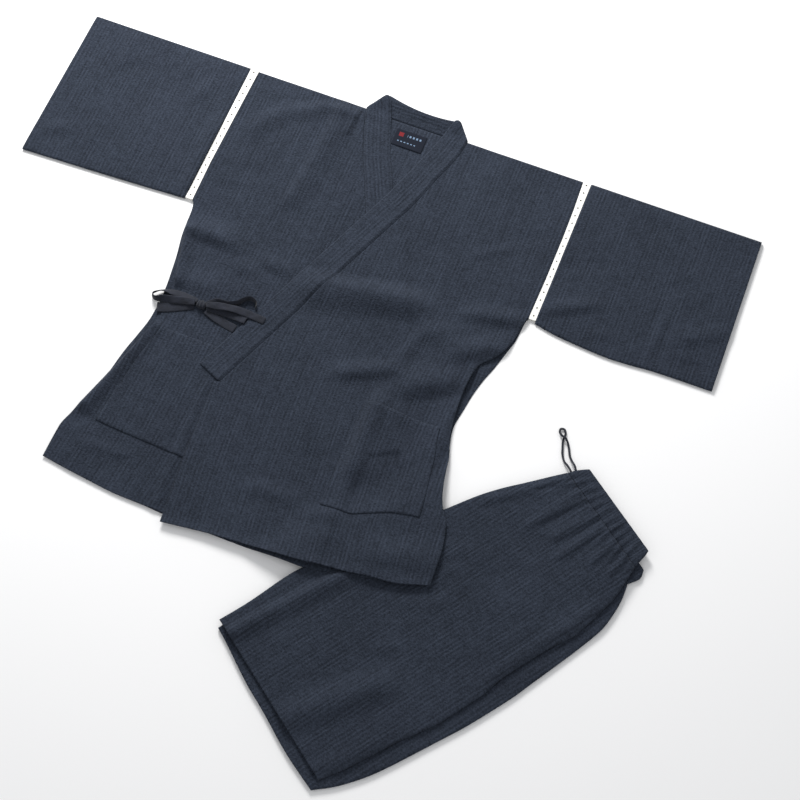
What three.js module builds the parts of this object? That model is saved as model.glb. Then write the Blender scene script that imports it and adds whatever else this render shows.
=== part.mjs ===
// Jinbei, a Japanese summer set laid flat: a wide-sleeved wrap jacket with its hem over folded trousers.
// Millimetres, +Z up. X runs along the jacket's shoulder line and Y points from its hem to its neck.
// Every piece is a wall of cloth, lying on the one below it with a small gap.
import * as THREE from 'three';

// Cloth and stacking
const WALL = 1.3;
const GAP = 0.3;
const BAND_WALL = 2.4;
const UNDER_LAYER = WALL + GAP;
const LAP_RISE = 3.2;
const SHOULDER_FOLD = 4;

// Sizes of the jacket
const HEM_ROW = 802;
const BAND_WIDTH = 47;
const SLEEVE_HEIGHT = 5.2;
const SEAM = 0.45;
const NECK_RISE = 8;

// Sizes of the trousers
const LEG_LENGTH = 585;
const UNDER_LENGTH = 560;
const LEG_HEIGHT = 5.5;
const CASING_LENGTH = 33;
const GATHERS = 12;
const TROUSER_STACK = 2 * LEG_HEIGHT + GAP;

// The middle of the whole set in the jacket's own coordinates, and the trousers' place and turn
const MIDDLE = { x: -1, y: -540.12 };
const TROUSERS = { x: 147, y: -1015.5, turn: THREE.MathUtils.degToRad(-35.9) };

const clamp01 = (t) => Math.min(1, Math.max(0, t));
const lerp = (a, b, t) => a + (b - a) * t;

function smooth(t) {
  const c = clamp01(t);
  return c * c * (3 - 2 * c);
}

// Reads a named column of a table at a place along another column
function read(table, along, column, at) {
  const rising = table[table.length - 1][along] > table[0][along];
  const rows = rising ? table : [...table].reverse();
  if (at <= rows[0][along]) return rows[0][column];
  for (let i = 1; i < rows.length; i += 1) {
    const a = rows[i - 1];
    const b = rows[i];
    if (at <= b[along]) return lerp(a[column], b[column], (at - a[along]) / (b[along] - a[along]));
  }
  return rows[rows.length - 1][column];
}

// Splits the stretches between named stops into equal steps
function divide(stops, counts) {
  const values = [stops[0]];
  counts.forEach((count, i) => {
    for (let k = 1; k <= count; k += 1) values.push(lerp(stops[i], stops[i + 1], k / count));
  });
  return values;
}

// Height of a set of soft folds at a point: each is a ridge along a line, fading at both ends
function foldHeight(folds, x, y) {
  let height = 0;
  for (const f of folds) {
    const dx = f.x2 - f.x1;
    const dy = f.y2 - f.y1;
    const length = Math.hypot(dx, dy);
    const along = ((x - f.x1) * dx + (y - f.y1) * dy) / length;
    const across = ((x - f.x1) * dy - (y - f.y1) * dx) / length;
    const start = smooth((along + f.width) / (2 * f.width));
    const end = smooth((length - along + f.width) / (2 * f.width));
    height += f.height * start * end * smooth(1 - Math.abs(across) / f.width);
  }
  return height;
}

// Folds of the jacket, one row each: the crest's two ends, half width and height
const LEFT_FOLDS = [
  { x1: -30, y1: -338, x2: 40, y2: -322, width: 42, height: 9 },
  { x1: 40, y1: -322, x2: 150, y2: -300, width: 40, height: 8 },
  { x1: 215, y1: -352, x2: 290, y2: -318, width: 30, height: 6 },
  { x1: 35, y1: -468, x2: 125, y2: -428, width: 36, height: 7 },
  { x1: 150, y1: -465, x2: 226, y2: -424, width: 32, height: 9 },
  { x1: 226, y1: -424, x2: 262, y2: -350, width: 28, height: 5 },
  { x1: 150, y1: -745, x2: 300, y2: -722, width: 38, height: 5 },
];
const RIGHT_FOLDS = [
  { x1: -286, y1: -322, x2: -205, y2: -326, width: 32, height: 7 },
  { x1: -250, y1: -70, x2: -165, y2: -25, width: 45, height: 4 },
  { x1: -300, y1: -655, x2: -215, y2: -640, width: 45, height: 4 },
];
const TROUSER_FOLDS = [
  { x1: -130, y1: 2, x2: -122, y2: 92, width: 26, height: 4 },
  { x1: 35, y1: 5, x2: 62, y2: 150, width: 42, height: 4.5 },
  { x1: -36, y1: 430, x2: -30, y2: 600, width: 15, height: 3.5 },
  { x1: -62, y1: 520, x2: -36, y2: 600, width: 11, height: 3 },
  { x1: -4, y1: 470, x2: 2, y2: 600, width: 14, height: 2.5 },
  { x1: 30, y1: 500, x2: 32, y2: 600, width: 13, height: 3 },
  { x1: 56, y1: 480, x2: 56, y2: 600, width: 12, height: 3.5 },
  { x1: 86, y1: 530, x2: 76, y2: 600, width: 12, height: 3 },
  { x1: 112, y1: 520, x2: 96, y2: 600, width: 12, height: 3.5 },
  { x1: 100, y1: 250, x2: 118, y2: 420, width: 40, height: 3 },
];

// Trouser outlines in the trousers' own frame: y runs from the hem up the leg, x across it
const UPPER_LEG = [
  { y: 0, inner: -145, outer: 145 },
  { y: 43, inner: -144, outer: 153 },
  { y: 129, inner: -148, outer: 161 },
  { y: 204, inner: -139, outer: 171 },
  { y: 270, inner: -129, outer: 171 },
  { y: 325, inner: -118, outer: 165 },
  { y: 393, inner: -106, outer: 166 },
  { y: 446, inner: -97, outer: 171 },
  { y: 480, inner: -88, outer: 166 },
  { y: 526, inner: -72, outer: 157 },
  { y: 562, inner: -60, outer: 143 },
  { y: LEG_LENGTH, inner: -52, outer: 133 },
];
const UNDER_LEG = [
  { y: -16, inner: -136, outer: 151 },
  { y: 22, inner: -137, outer: 168 },
  { y: 79, inner: -139, outer: 182 },
  { y: 167, inner: -137, outer: 191 },
  { y: 243, inner: -126, outer: 197 },
  { y: 307, inner: -116, outer: 198 },
  { y: 354, inner: -107, outer: 195.5 },
  { y: 400, inner: -99, outer: 193 },
  { y: 443, inner: -90, outer: 190 },
  { y: 484, inner: -79, outer: 185.5 },
  { y: 508, inner: -71, outer: 178 },
  { y: 540, inner: -61, outer: 163 },
  { y: UNDER_LENGTH, inner: -56, outer: 149 },
];

// Turns a point of the jacket's frame into the trousers' frame
function toTrousers(x, y) {
  const dx = x - TROUSERS.x;
  const dy = y - TROUSERS.y;
  const c = Math.cos(TROUSERS.turn);
  const s = Math.sin(TROUSERS.turn);
  return { x: dx * c + dy * s, y: -dx * s + dy * c };
}

// How far the trousers lift the jacket's corner: the cloth climbs outside their edge to their whole height,
// and a little higher. A layer that climbs lies a little looser than the one below it.
const LIFT_CLEARANCE = 0.9;
const LIFT_START = 92;
const LIFT_END = 22;
const LOOSE = 1.5;
const LOOSE_START = 160;

function insideTrousers(x, y) {
  const p = toTrousers(x, y);
  return p.x - read(UPPER_LEG, 'y', 'inner', p.y);
}

function trouserLift(x, y, layer = 0) {
  const inside = insideTrousers(x, y);
  const lift = (TROUSER_STACK + LIFT_CLEARANCE) * smooth((inside + LIFT_START) / (LIFT_START - LIFT_END));
  return lift + layer * LOOSE * smooth((inside + LOOSE_START) / (LOOSE_START - LIFT_START));
}

// Where the under front ends below the upper one: its collar's inner edge, then its own edge.
// The upper front slopes down past it.
const LAP_REACH = 42;
const LAP_SLOPE = 24;
const HIDDEN_EDGE = [
  { y: 0, x: -60 },
  { y: -75, x: -25 },
  { y: -140, x: 0 },
  { y: -574, x: 180 },
  { y: -600, x: 136 },
  { y: -820, x: 129 },
];
const underLap = (x, y) => smooth((read(HIDDEN_EDGE, 'y', 'x', y) - x + LAP_REACH) / LAP_SLOPE);

// Height of the collar's back stretch, which rises from its sewn edge towards its top edge
const NECK_STRETCH = 38;
const neckTop = (y) => BAND_WALL + NECK_RISE * smooth((y + SHOULDER_FOLD) / NECK_STRETCH);

// Undersides of the jacket's layers
const backBottom = (x, y) => trouserLift(x, y);
const underBottom = (x, y) => UNDER_LAYER + trouserLift(x, y, 1) + foldHeight(RIGHT_FOLDS, x, y);
const upperBottom = (x, y) =>
  UNDER_LAYER + LAP_RISE * underLap(x, y) + trouserLift(x, y, 2) + foldHeight(LEFT_FOLDS, x, y);

// A closed solid between two equal grids of points, the lower grid under the upper one
function slab(upper, lower) {
  const rows = upper.length;
  const columns = upper[0].length;
  const points = [...upper.flat(), ...lower.flat()];
  const top = (r, c) => r * columns + c;
  const bottom = (r, c) => rows * columns + r * columns + c;
  const faces = [];
  for (let r = 0; r < rows - 1; r += 1) {
    for (let c = 0; c < columns - 1; c += 1) {
      faces.push([top(r, c), top(r + 1, c), top(r + 1, c + 1)]);
      faces.push([top(r, c), top(r + 1, c + 1), top(r, c + 1)]);
      faces.push([bottom(r, c), bottom(r + 1, c + 1), bottom(r + 1, c)]);
      faces.push([bottom(r, c), bottom(r, c + 1), bottom(r + 1, c + 1)]);
    }
  }
  const rim = [];
  for (let c = 0; c < columns; c += 1) rim.push([0, c]);
  for (let r = 1; r < rows; r += 1) rim.push([r, columns - 1]);
  for (let c = columns - 2; c >= 0; c -= 1) rim.push([rows - 1, c]);
  for (let r = rows - 2; r >= 1; r -= 1) rim.push([r, 0]);
  rim.forEach(([r, c], i) => {
    const [r2, c2] = rim[(i + 1) % rim.length];
    faces.push([top(r, c), top(r2, c2), bottom(r2, c2)]);
    faces.push([top(r, c), bottom(r2, c2), bottom(r, c)]);
  });
  return solid(points, faces);
}

// A wall round a hollow that is open at both ends: rings of points outside, and the same rings moved in
function tube(outer, inner) {
  const rings = outer.length;
  const around = outer[0].length;
  const points = [...outer.flat(), ...inner.flat()];
  const out = (r, k) => r * around + (k % around);
  const within = (r, k) => rings * around + r * around + (k % around);
  const faces = [];
  for (let k = 0; k < around; k += 1) {
    for (let r = 0; r < rings - 1; r += 1) {
      faces.push([out(r, k), out(r, k + 1), out(r + 1, k + 1)]);
      faces.push([out(r, k), out(r + 1, k + 1), out(r + 1, k)]);
      faces.push([within(r, k), within(r + 1, k + 1), within(r, k + 1)]);
      faces.push([within(r, k), within(r + 1, k), within(r + 1, k + 1)]);
    }
    const last = rings - 1;
    faces.push([out(0, k), within(0, k), within(0, k + 1)]);
    faces.push([out(0, k), within(0, k + 1), out(0, k + 1)]);
    faces.push([out(last, k), out(last, k + 1), within(last, k + 1)]);
    faces.push([out(last, k), within(last, k + 1), within(last, k)]);
  }
  return solid(points, faces);
}

// Geometry from points and triangles, turned inside out where its volume comes out negative
function solid(points, faces) {
  const position = new Float32Array(points.flat());
  const geometry = new THREE.BufferGeometry();
  geometry.setAttribute('position', new THREE.BufferAttribute(position, 3));
  let volume = 0;
  for (const [a, b, c] of faces) {
    const p = new THREE.Vector3(...points[a]);
    const q = new THREE.Vector3(...points[b]);
    volume += p.dot(q.cross(new THREE.Vector3(...points[c])));
  }
  const turned = volume < 0 ? faces.map(([a, b, c]) => [a, c, b]) : faces;
  geometry.setIndex(turned.flat());
  geometry.computeVertexNormals();
  return geometry;
}

// Finishes
const FINISH = {
  cloth: new THREE.MeshStandardMaterial({ color: 0x2b3545, roughness: 0.92, metalness: 0 }),
  lace: new THREE.MeshStandardMaterial({ color: 0xe6e2d2, roughness: 0.85, metalness: 0 }),
  tie: new THREE.MeshStandardMaterial({ color: 0x23262e, roughness: 0.9, metalness: 0 }),
  label: new THREE.MeshStandardMaterial({ color: 0x1d2436, roughness: 0.6, metalness: 0 }),
};

const jacket = new THREE.Group();
const trousers = new THREE.Group();

function piece(parent, name, geometry, finish) {
  const mesh = new THREE.Mesh(geometry, FINISH[finish]);
  mesh.name = name;
  parent.add(mesh);
}

const BAND_END = -567.7;
// The collar band, one row for each section: its sewn edge and the turn of the section across it
const COLLAR_LEFT = [
  { x: 88, y: 0, cross: 130 },
  { x: 86.5, y: -14, cross: 143 },
  { x: 84, y: -30, cross: 151 },
  { x: 75, y: -60, cross: 155 },
  { x: 65, y: -88, cross: 156 },
  { x: 57, y: -115, cross: 157 },
  { x: 40, y: -165, cross: 157 },
  { x: -130, y: BAND_END, cross: 157 },
];
const COLLAR_RIGHT = [
  { x: -100, y: 0, cross: 52 },
  { x: -96.5, y: -16, cross: 36 },
  { x: -90, y: -38, cross: 26 },
  { x: -71, y: -90, cross: 23 },
  { x: -53, y: -127, cross: 23 },
  { x: -27, y: -186, cross: 23 },
  { x: 133, y: BAND_END, cross: 23 },
];

// Body panels of the jacket. Each row gives the panel's lines at one height, each column is a line down it.
// Above the bands' ends the lap line is the band's sewn edge.
const BACK = [
  { y: -SHOULDER_FOLD - GAP, right: -302.5, left: 299 },
  { y: -60, right: -304.5, left: 301.5 },
  { y: -115, right: -306, left: 302 },
  { y: -200, right: -308.5, left: 301.3 },
  { y: -275, right: -308, left: 298.9 },
  { y: -284, right: -303, left: 296 },
  { y: -320, right: -300, left: 293 },
  { y: -341, right: -298, left: 287.5 },
  { y: -384, right: -290, left: 275.5 },
  { y: -406, right: -287, left: 268 },
  { y: -440, right: -283, left: 260 },
  { y: -467, right: -281.5, left: 256 },
  { y: -500, right: -283, left: 251.5 },
  { y: -540, right: -291, left: 258.5 },
  { y: -571, right: -298.5, left: 265 },
  { y: -640, right: -310, left: 274.5 },
  { y: -680, right: -321, left: 288 },
  { y: -704, right: -328, left: 299.5 },
  { y: -750, right: -337, left: 308 },
  { y: -HEM_ROW, right: -339, left: 309 },
];
const FRONT_RIGHT = [
  { y: 0, side: -302.7, pocketFar: -262, pocketNear: -180 },
  { y: -38, side: -304, pocketFar: -262, pocketNear: -170 },
  { y: -90, side: -305.5, pocketFar: -262, pocketNear: -155 },
  { y: -127, side: -306.6, pocketFar: -262, pocketNear: -145 },
  { y: -186, side: -308.2, pocketFar: -262, pocketNear: -135 },
  { y: -275, side: -308, pocketFar: -262, pocketNear: -125 },
  { y: -284, side: -303, pocketFar: -262, pocketNear: -124 },
  { y: -340, side: -295, pocketFar: -262, pocketNear: -118 },
  { y: -400, side: -281, pocketFar: -258, pocketNear: -112 },
  { y: -440, side: -269, pocketFar: -254, pocketNear: -108 },
  { y: -500, side: -269, pocketFar: -256, pocketNear: -108 },
  { y: -545, side: -281, pocketFar: -264, pocketNear: -108 },
  { y: -572, side: -291, pocketFar: -270, pocketNear: -108, lap: 133 },
  { y: -640, side: -312, pocketFar: -281, pocketNear: -108, lap: 131 },
  { y: -704, side: -331, pocketFar: -290, pocketNear: -108, lap: 129 },
  { y: -740, side: -340, pocketFar: -294, pocketNear: -108, lap: 128 },
  { y: -HEM_ROW, side: -342, pocketFar: -300, pocketNear: -108, lap: 127 },
];
const FRONT_LEFT = [
  { y: 0, pocketNear: 103, pocketFar: 254, side: 299 },
  { y: -30, pocketNear: 103, pocketFar: 254, side: 300.5 },
  { y: -60, pocketNear: 103, pocketFar: 254, side: 301.6 },
  { y: -88, pocketNear: 103, pocketFar: 254, side: 302 },
  { y: -115, pocketNear: 103, pocketFar: 254, side: 302 },
  { y: -165, pocketNear: 103, pocketFar: 254, side: 302 },
  { y: -275, pocketNear: 103, pocketFar: 246, side: 299 },
  { y: -284, pocketNear: 103, pocketFar: 245, side: 296 },
  { y: -325, pocketNear: 103, pocketFar: 240, side: 289 },
  { y: -355, pocketNear: 103, pocketFar: 234, side: 276 },
  { y: -380, pocketNear: 103, pocketFar: 226, side: 246 },
  { y: -440, pocketNear: 103, pocketFar: 224, side: 244 },
  { y: -500, pocketNear: 103, pocketFar: 230, side: 249 },
  { y: -567, pocketNear: 103, pocketFar: 242, side: 265 },
  { y: -572, lap: -138, pocketNear: 103, pocketFar: 243, side: 265.5 },
  { y: -640, lap: -134, pocketNear: 103, pocketFar: 250, side: 275.5 },
  { y: -670, lap: -133, pocketNear: 103, pocketFar: 254, side: 284 },
  { y: -702, lap: -132, pocketNear: 103, pocketFar: 257, side: 300.5 },
  { y: -750, lap: -127, pocketNear: 103, pocketFar: 259, side: 310 },
  { y: -HEM_ROW, lap: -121, pocketNear: 103, pocketFar: 260, side: 312 },
];

// How the level rows bend on the way down: at the pocket's lower edge and at the hem
const FRONT_LEFT_BEND = [
  { x: -121, pocket: 0, hem: -18 },
  { x: -40, pocket: 0, hem: -8 },
  { x: 0, pocket: 0, hem: -5 },
  { x: 103, pocket: 0, hem: 0 },
  { x: 150, pocket: 1, hem: 7 },
  { x: 180, pocket: 12, hem: 10 },
  { x: 215, pocket: 26, hem: 16 },
  { x: 256, pocket: 34, hem: 20 },
  { x: 312, pocket: 38, hem: 37 },
];
const FRONT_RIGHT_BEND = [
  { x: -340, pocket: 4, hem: 15 },
  { x: -290, pocket: 2, hem: 8 },
  { x: -263, pocket: 0, hem: 5 },
  { x: -199, pocket: -3, hem: -1 },
  { x: -108, pocket: -6, hem: -2 },
  { x: 127, pocket: 0, hem: 3 },
];
const BACK_BEND = [
  { x: -336, pocket: 4, hem: 18 },
  { x: -199, pocket: -2, hem: 2 },
  { x: -40, pocket: 0, hem: -6 },
  { x: 103, pocket: 0, hem: -6 },
  { x: 200, pocket: 16, hem: 12 },
  { x: 309, pocket: 36, hem: 38 },
];
const POCKET_TOP = -512;
const POCKET_BOTTOM = -702;

function bent(table, x, y) {
  const level = Math.abs(y);
  const toPocket = smooth((level + POCKET_TOP) / (POCKET_TOP - POCKET_BOTTOM));
  const toHem = clamp01((level + POCKET_BOTTOM) / (HEM_ROW + POCKET_BOTTOM));
  return y + lerp(toPocket * read(table, 'x', 'pocket', x), read(table, 'x', 'hem', x), toHem);
}

// The grid of a body panel: its level rows crossed with its lines, each bent towards the hem.
// Where a collar band is sewn on, the lap line is the band's edge, less the seam's gap.
function panelGrid(panel, bend, lines, counts, rows, band = null) {
  return rows.map((y) => {
    const stops = lines.map((line) => {
      if (line !== 'lap' || !band || y < BAND_END) return read(panel, 'y', line, y);
      return read(band.table, 'y', 'x', y) + band.side * SEAM;
    });
    return divide(stops, counts).map((x) => ({ x, y: bent(bend, x, y) }));
  });
}

// Raises a grid to a wall of cloth over a given underside
function wallOver(grid, bottom, wall) {
  const lower = grid.map((row) => row.map((p) => [p.x, p.y, bottom(p.x, p.y)]));
  const upper = lower.map((row) => row.map(([x, y, z]) => [x, y, z + wall]));
  return slab(upper, lower);
}

// The rows of the fold along the shoulder, where a front turns down to the ground behind it
const FOLD_ROWS = [0, -2, -SHOULDER_FOLD + 1, -SHOULDER_FOLD];
const FOLD_FLOOR = FOLD_ROWS[2] - GAP;

function frontPanel(grid, bottom) {
  const lower = grid.map((row) =>
    row.map((p) => [p.x, p.y, p.y > FOLD_FLOOR ? 0 : bottom(p.x, p.y)]));
  const upper = grid.map((row) =>
    row.map((p) => [p.x, p.y, (bottom(p.x, p.y) + WALL) * (p.y > -GAP ? 0.5 : 1)]));
  return slab(upper, lower);
}

const BAND_FOOT = BAND_END + 0.1;
const BELOW_BAND = -572;
const upperRows = [
  ...FOLD_ROWS, -14, -30, -60, -88, -115, -140, -165, -200, -235, -275, -284, -305, -325, -345, -362, -380,
  -400, -420, -440, -460, -480, -500, POCKET_TOP, -540, BAND_FOOT, BELOW_BAND, -605, -640, -670,
  POCKET_BOTTOM, -722, -745, -775, -HEM_ROW,
];
const underRows = [
  ...FOLD_ROWS, -16, -38, -64, -90, -127, -156, -186, -230, -275, -284, -320, -340, -370, -400, -440, -470,
  -500, POCKET_TOP, -545, BAND_FOOT, BELOW_BAND, -606, -640, -672, POCKET_BOTTOM, -735, -768, -HEM_ROW,
];
const backRows = [
  -SHOULDER_FOLD - GAP, -60, -115, -200, -275, -284, -320, -341, -384, -406, -440, -467, -500, -540, -571,
  -605, -640, -660, -680, -704, -724, -750, -776, -HEM_ROW,
];

function bodyPanels() {
  for (const [name, from, to, counts] of [
    ['back_right', 'right', 'middle', [5]],
    ['back_left', 'middle', 'left', [12]],
  ]) {
    const half = name === 'back_right' ? -GAP / 2 : GAP / 2;
    const panel = BACK.map((row) => ({ ...row, middle: half }));
    const grid = panelGrid(panel, BACK_BEND, [from, to], counts, backRows);
    piece(jacket, name, wallOver(grid, backBottom, WALL), 'cloth');
  }
  const lines = ['side', 'pocketFar', 'pocketNear', 'lap'];
  const underBand = { table: COLLAR_RIGHT, side: -1 };
  const under = panelGrid(FRONT_RIGHT, FRONT_RIGHT_BEND, lines, [2, 6, 7], underRows, underBand);
  piece(jacket, 'front_right', frontPanel(under, underBottom), 'cloth');
  const upperBand = { table: COLLAR_LEFT, side: 1 };
  const upper = panelGrid(FRONT_LEFT, FRONT_LEFT_BEND, [...lines].reverse(), [9, 7, 3], upperRows, upperBand);
  piece(jacket, 'front_left', frontPanel(upper, upperBottom), 'cloth');
  pocket('pocket_right', under, underRows, 2, 8, underBottom);
  pocket('pocket_left', upper, upperRows, 9, 16, upperBottom);
}

// A patch pocket on the front's own grid, moved out by the wall and a gap
function pocket(name, grid, rows, firstColumn, lastColumn, bottom) {
  const from = rows.indexOf(POCKET_TOP);
  const to = rows.indexOf(POCKET_BOTTOM);
  const patch = grid.slice(from, to + 1).map((row) => row.slice(firstColumn, lastColumn + 1));
  piece(jacket, name, wallOver(patch, (x, y) => bottom(x, y) + WALL + GAP, WALL), 'cloth');
}

// Each section of a band is split in three across it, and the stretches along it into these steps
const BAND_SPLITS = [0, 1 / 3, 2 / 3, 1];
const LEFT_STEPS = [1, 1, 1, 1, 1, 2, 20];
const RIGHT_STEPS = [1, 1, 2, 1, 2, 8];

// Underside of each collar stretch, which climbs over the back stretch at the neck
const CLIMB_START = -26;
const CLIMB_LENGTH = 18;
const NECK_CLEARANCE = 5 * GAP;

function bandBottom(x, y, layer) {
  const overNeck = smooth((y - CLIMB_START) / CLIMB_LENGTH);
  return lerp(layer, neckTop(y) + NECK_CLEARANCE, overNeck);
}

function collarBand(name, table, steps, bottom) {
  const grid = [];
  table.forEach((row, i) => {
    const count = i === 0 ? 1 : steps[i - 1];
    for (let k = 1; k <= count; k += 1) {
      const t = k / count;
      const from = i === 0 ? row : table[i - 1];
      const turn = THREE.MathUtils.degToRad(lerp(from.cross, row.cross, t));
      const sewn = { x: lerp(from.x, row.x, t), y: lerp(from.y, row.y, t) };
      grid.push(BAND_SPLITS.map((w) => ({
        x: sewn.x + BAND_WIDTH * w * Math.cos(turn),
        y: sewn.y + BAND_WIDTH * w * Math.sin(turn),
      })));
    }
  });
  piece(jacket, name, wallOver(grid, bottom, BAND_WALL), 'cloth');
}

// The stretch behind the neck, whose top edge dips a little in the middle
const NECK_TOP_ROW = 33;
const NECK_DIP = 3;
const NECK_MIDDLE = -6;
const NECK_HALF = 78;
const BACK_STRETCH = [
  { y: -SHOULDER_FOLD + GAP, right: -96, left: 84 },
  { y: 6, right: -93, left: 81 },
  { y: 16, right: -86, left: 74 },
  { y: 25, right: -79, left: 66.5 },
  { y: NECK_TOP_ROW, right: -72, left: 60 },
];

function collar() {
  const underBand = (x, y) => bandBottom(x, y, UNDER_LAYER);
  const upperBand = (x, y) => bandBottom(x, y, upperBottom(x, y));
  collarBand('collar_right', COLLAR_RIGHT, RIGHT_STEPS, underBand);
  collarBand('collar_left', COLLAR_LEFT, LEFT_STEPS, upperBand);
  const grid = BACK_STRETCH.map((row) => divide([row.right, row.left], [10]).map((x) => ({
    x,
    y: row.y - NECK_DIP * smooth(row.y / NECK_TOP_ROW) * (1 - ((x - NECK_MIDDLE) / NECK_HALF) ** 2),
  })));
  piece(jacket, 'collar_back', wallOver(grid, (x, y) => neckTop(y) - BAND_WALL, BAND_WALL), 'cloth');
}

// A flattened tube's ring: positions across it, over the top and back below, with round edges.
// Inset 0 gives the outer ring, and an inset of the wall gives the inner one.
const EDGE_ROUND = 4;
const EDGE_NEAR = 1.2;
const FOLD_FADE = 20;

function flatRing(across, level, height, fold, inset) {
  const last = across.length - 1;
  const points = across.map((a) => {
    const reach = Math.min(Math.abs(a - across[0]), Math.abs(a - across[last]));
    const edge = 1 - clamp01(reach / EDGE_ROUND);
    const inward = Math.sign(across[last] - across[0]) * (Math.abs(a - across[0]) < EDGE_ROUND ? 1 : -1);
    return {
      a: a + inward * inset * edge,
      half: (height / 2 - inset) * Math.sqrt(1 - edge * edge),
      fold: fold(a) * smooth(reach / FOLD_FADE),
    };
  });
  const over = points.map((p) => [p.a, level + height / 2 + p.half + p.fold]);
  const under = points.slice(1, last).map((p) => [p.a, level + height / 2 - p.half]);
  return [...over, ...under.reverse()];
}

// Positions across a flattened tube: close together at the round edges, even between
function acrossTube(from, to, count) {
  const side = Math.sign(to - from);
  const edge = [0, EDGE_NEAR, EDGE_ROUND].map((d) => d * side);
  const middle = divide([from + edge[2], to - edge[2]], [count]).slice(1, -1);
  return [...edge.map((d) => from + d), ...middle, ...[...edge].reverse().map((d) => to - d)];
}

// Sleeves: a row for each section from the armhole to the cuff, placed at the shoulder (x), with its foot at
// the lower edge
const SLEEVES = {
  sleeve_left: {
    sections: [
      { x: 314.5, foot: 312, lower: -281.5 },
      { x: 350, foot: 348, lower: -288.5 },
      { x: 400, foot: 399, lower: -293.5 },
      { x: 445, foot: 444.5, lower: -296 },
      { x: 480, foot: 480, lower: -294.5 },
      { x: 520, foot: 520.5, lower: -291.5 },
      { x: 560, foot: 561.5, lower: -290.5 },
      { x: 617, foot: 620, lower: -290 },
    ],
    folds: [
      { x1: 330, y1: -255, x2: 420, y2: -205, width: 40, height: 2.5 },
      { x1: 470, y1: -150, x2: 600, y2: -175, width: 50, height: 2 },
    ],
  },
  sleeve_right: {
    sections: [
      { x: -319, foot: -322, lower: -278.5 },
      { x: -400, foot: -403.5, lower: -283 },
      { x: -480, foot: -484, lower: -287 },
      { x: -560, foot: -564.5, lower: -290.5 },
      { x: -617, foot: -622, lower: -293 },
    ],
    folds: [
      { x1: -440, y1: -215, x2: -345, y2: -235, width: 45, height: 2.5 },
      { x1: -600, y1: -95, x2: -480, y2: -70, width: 50, height: 2 },
    ],
  },
};

function sleeve(name) {
  const { sections, folds } = SLEEVES[name];
  const stations = divide([sections[0].x, sections[sections.length - 1].x], [10]);
  const rings = (inset) => stations.map((x) => {
    const lower = read(sections, 'x', 'lower', x);
    const foot = read(sections, 'x', 'foot', x);
    const fold = (y) => foldHeight(folds, x, y);
    return flatRing(acrossTube(0, lower, 8), 0, SLEEVE_HEIGHT, fold, inset)
      .map(([y, z]) => [lerp(x, foot, y / lower), y, z]);
  });
  piece(jacket, name, tube(rings(0), rings(WALL)), 'cloth');
}

// Lace let in between sleeve and body: one strip up the back, over the shoulder and down the front.
// A row gives its two edges, beside the body and beside the sleeve.
const LACE_FOOT = -277;
const LACE_LEVEL = 4.6;
const LACE_WALL = 1;
const LACE_TURN = 1.2;
const LACE_BEVEL = 0.6;
const LACES = {
  lace_left: [
    { y: 0, body: 299.6, sleeve: 313.9 },
    { y: -60, body: 302, sleeve: 313.5 },
    { y: -115, body: 302.6, sleeve: 313.1 },
    { y: -200, body: 301.8, sleeve: 312.5 },
    { y: LACE_FOOT, body: 299.3, sleeve: 311.6 },
  ],
  lace_right: [
    { y: 0, body: -303.2, sleeve: -318.6 },
    { y: -60, body: -305, sleeve: -319.2 },
    { y: -115, body: -306.6, sleeve: -319.8 },
    { y: -200, body: -309, sleeve: -320.7 },
    { y: LACE_FOOT, body: -308.4, sleeve: -321.4 },
  ],
};

function lace(name) {
  const profile = (inset) => {
    const runs = divide([LACE_FOOT, -200, -115, -60, -EDGE_ROUND], [2, 2, 1, 1]);
    const low = runs.map((y) => [y, inset]);
    const turn = [
      [-LACE_TURN - inset / 2, inset + LACE_BEVEL],
      [-inset, LACE_LEVEL / 2],
      [-LACE_TURN - inset / 2, LACE_LEVEL - inset - LACE_BEVEL],
    ];
    const high = runs.map((y) => [y, LACE_LEVEL - inset]).reverse();
    return [...low, ...turn, ...high];
  };
  const strip = (inset) => profile(inset).map(([y, z]) => [
    [read(LACES[name], 'y', 'body', y), y, z],
    [read(LACES[name], 'y', 'sleeve', y), y, z],
  ]);
  piece(jacket, name, slab(strip(0), strip(LACE_WALL)), 'lace');
}

// Label inside the back neck
const LABEL = { x: -7.5, y: -33.5, width: 55, height: 33, wall: 1 };

function label() {
  const columns = divide([LABEL.x - LABEL.width / 2, LABEL.x + LABEL.width / 2], [4]);
  const rows = divide([LABEL.y + LABEL.height / 2, LABEL.y - LABEL.height / 2], [3]);
  const grid = rows.map((y) => columns.map((x) => ({ x, y })));
  piece(jacket, 'label', wallOver(grid, () => WALL + GAP, LABEL.wall), 'label');
}

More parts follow.
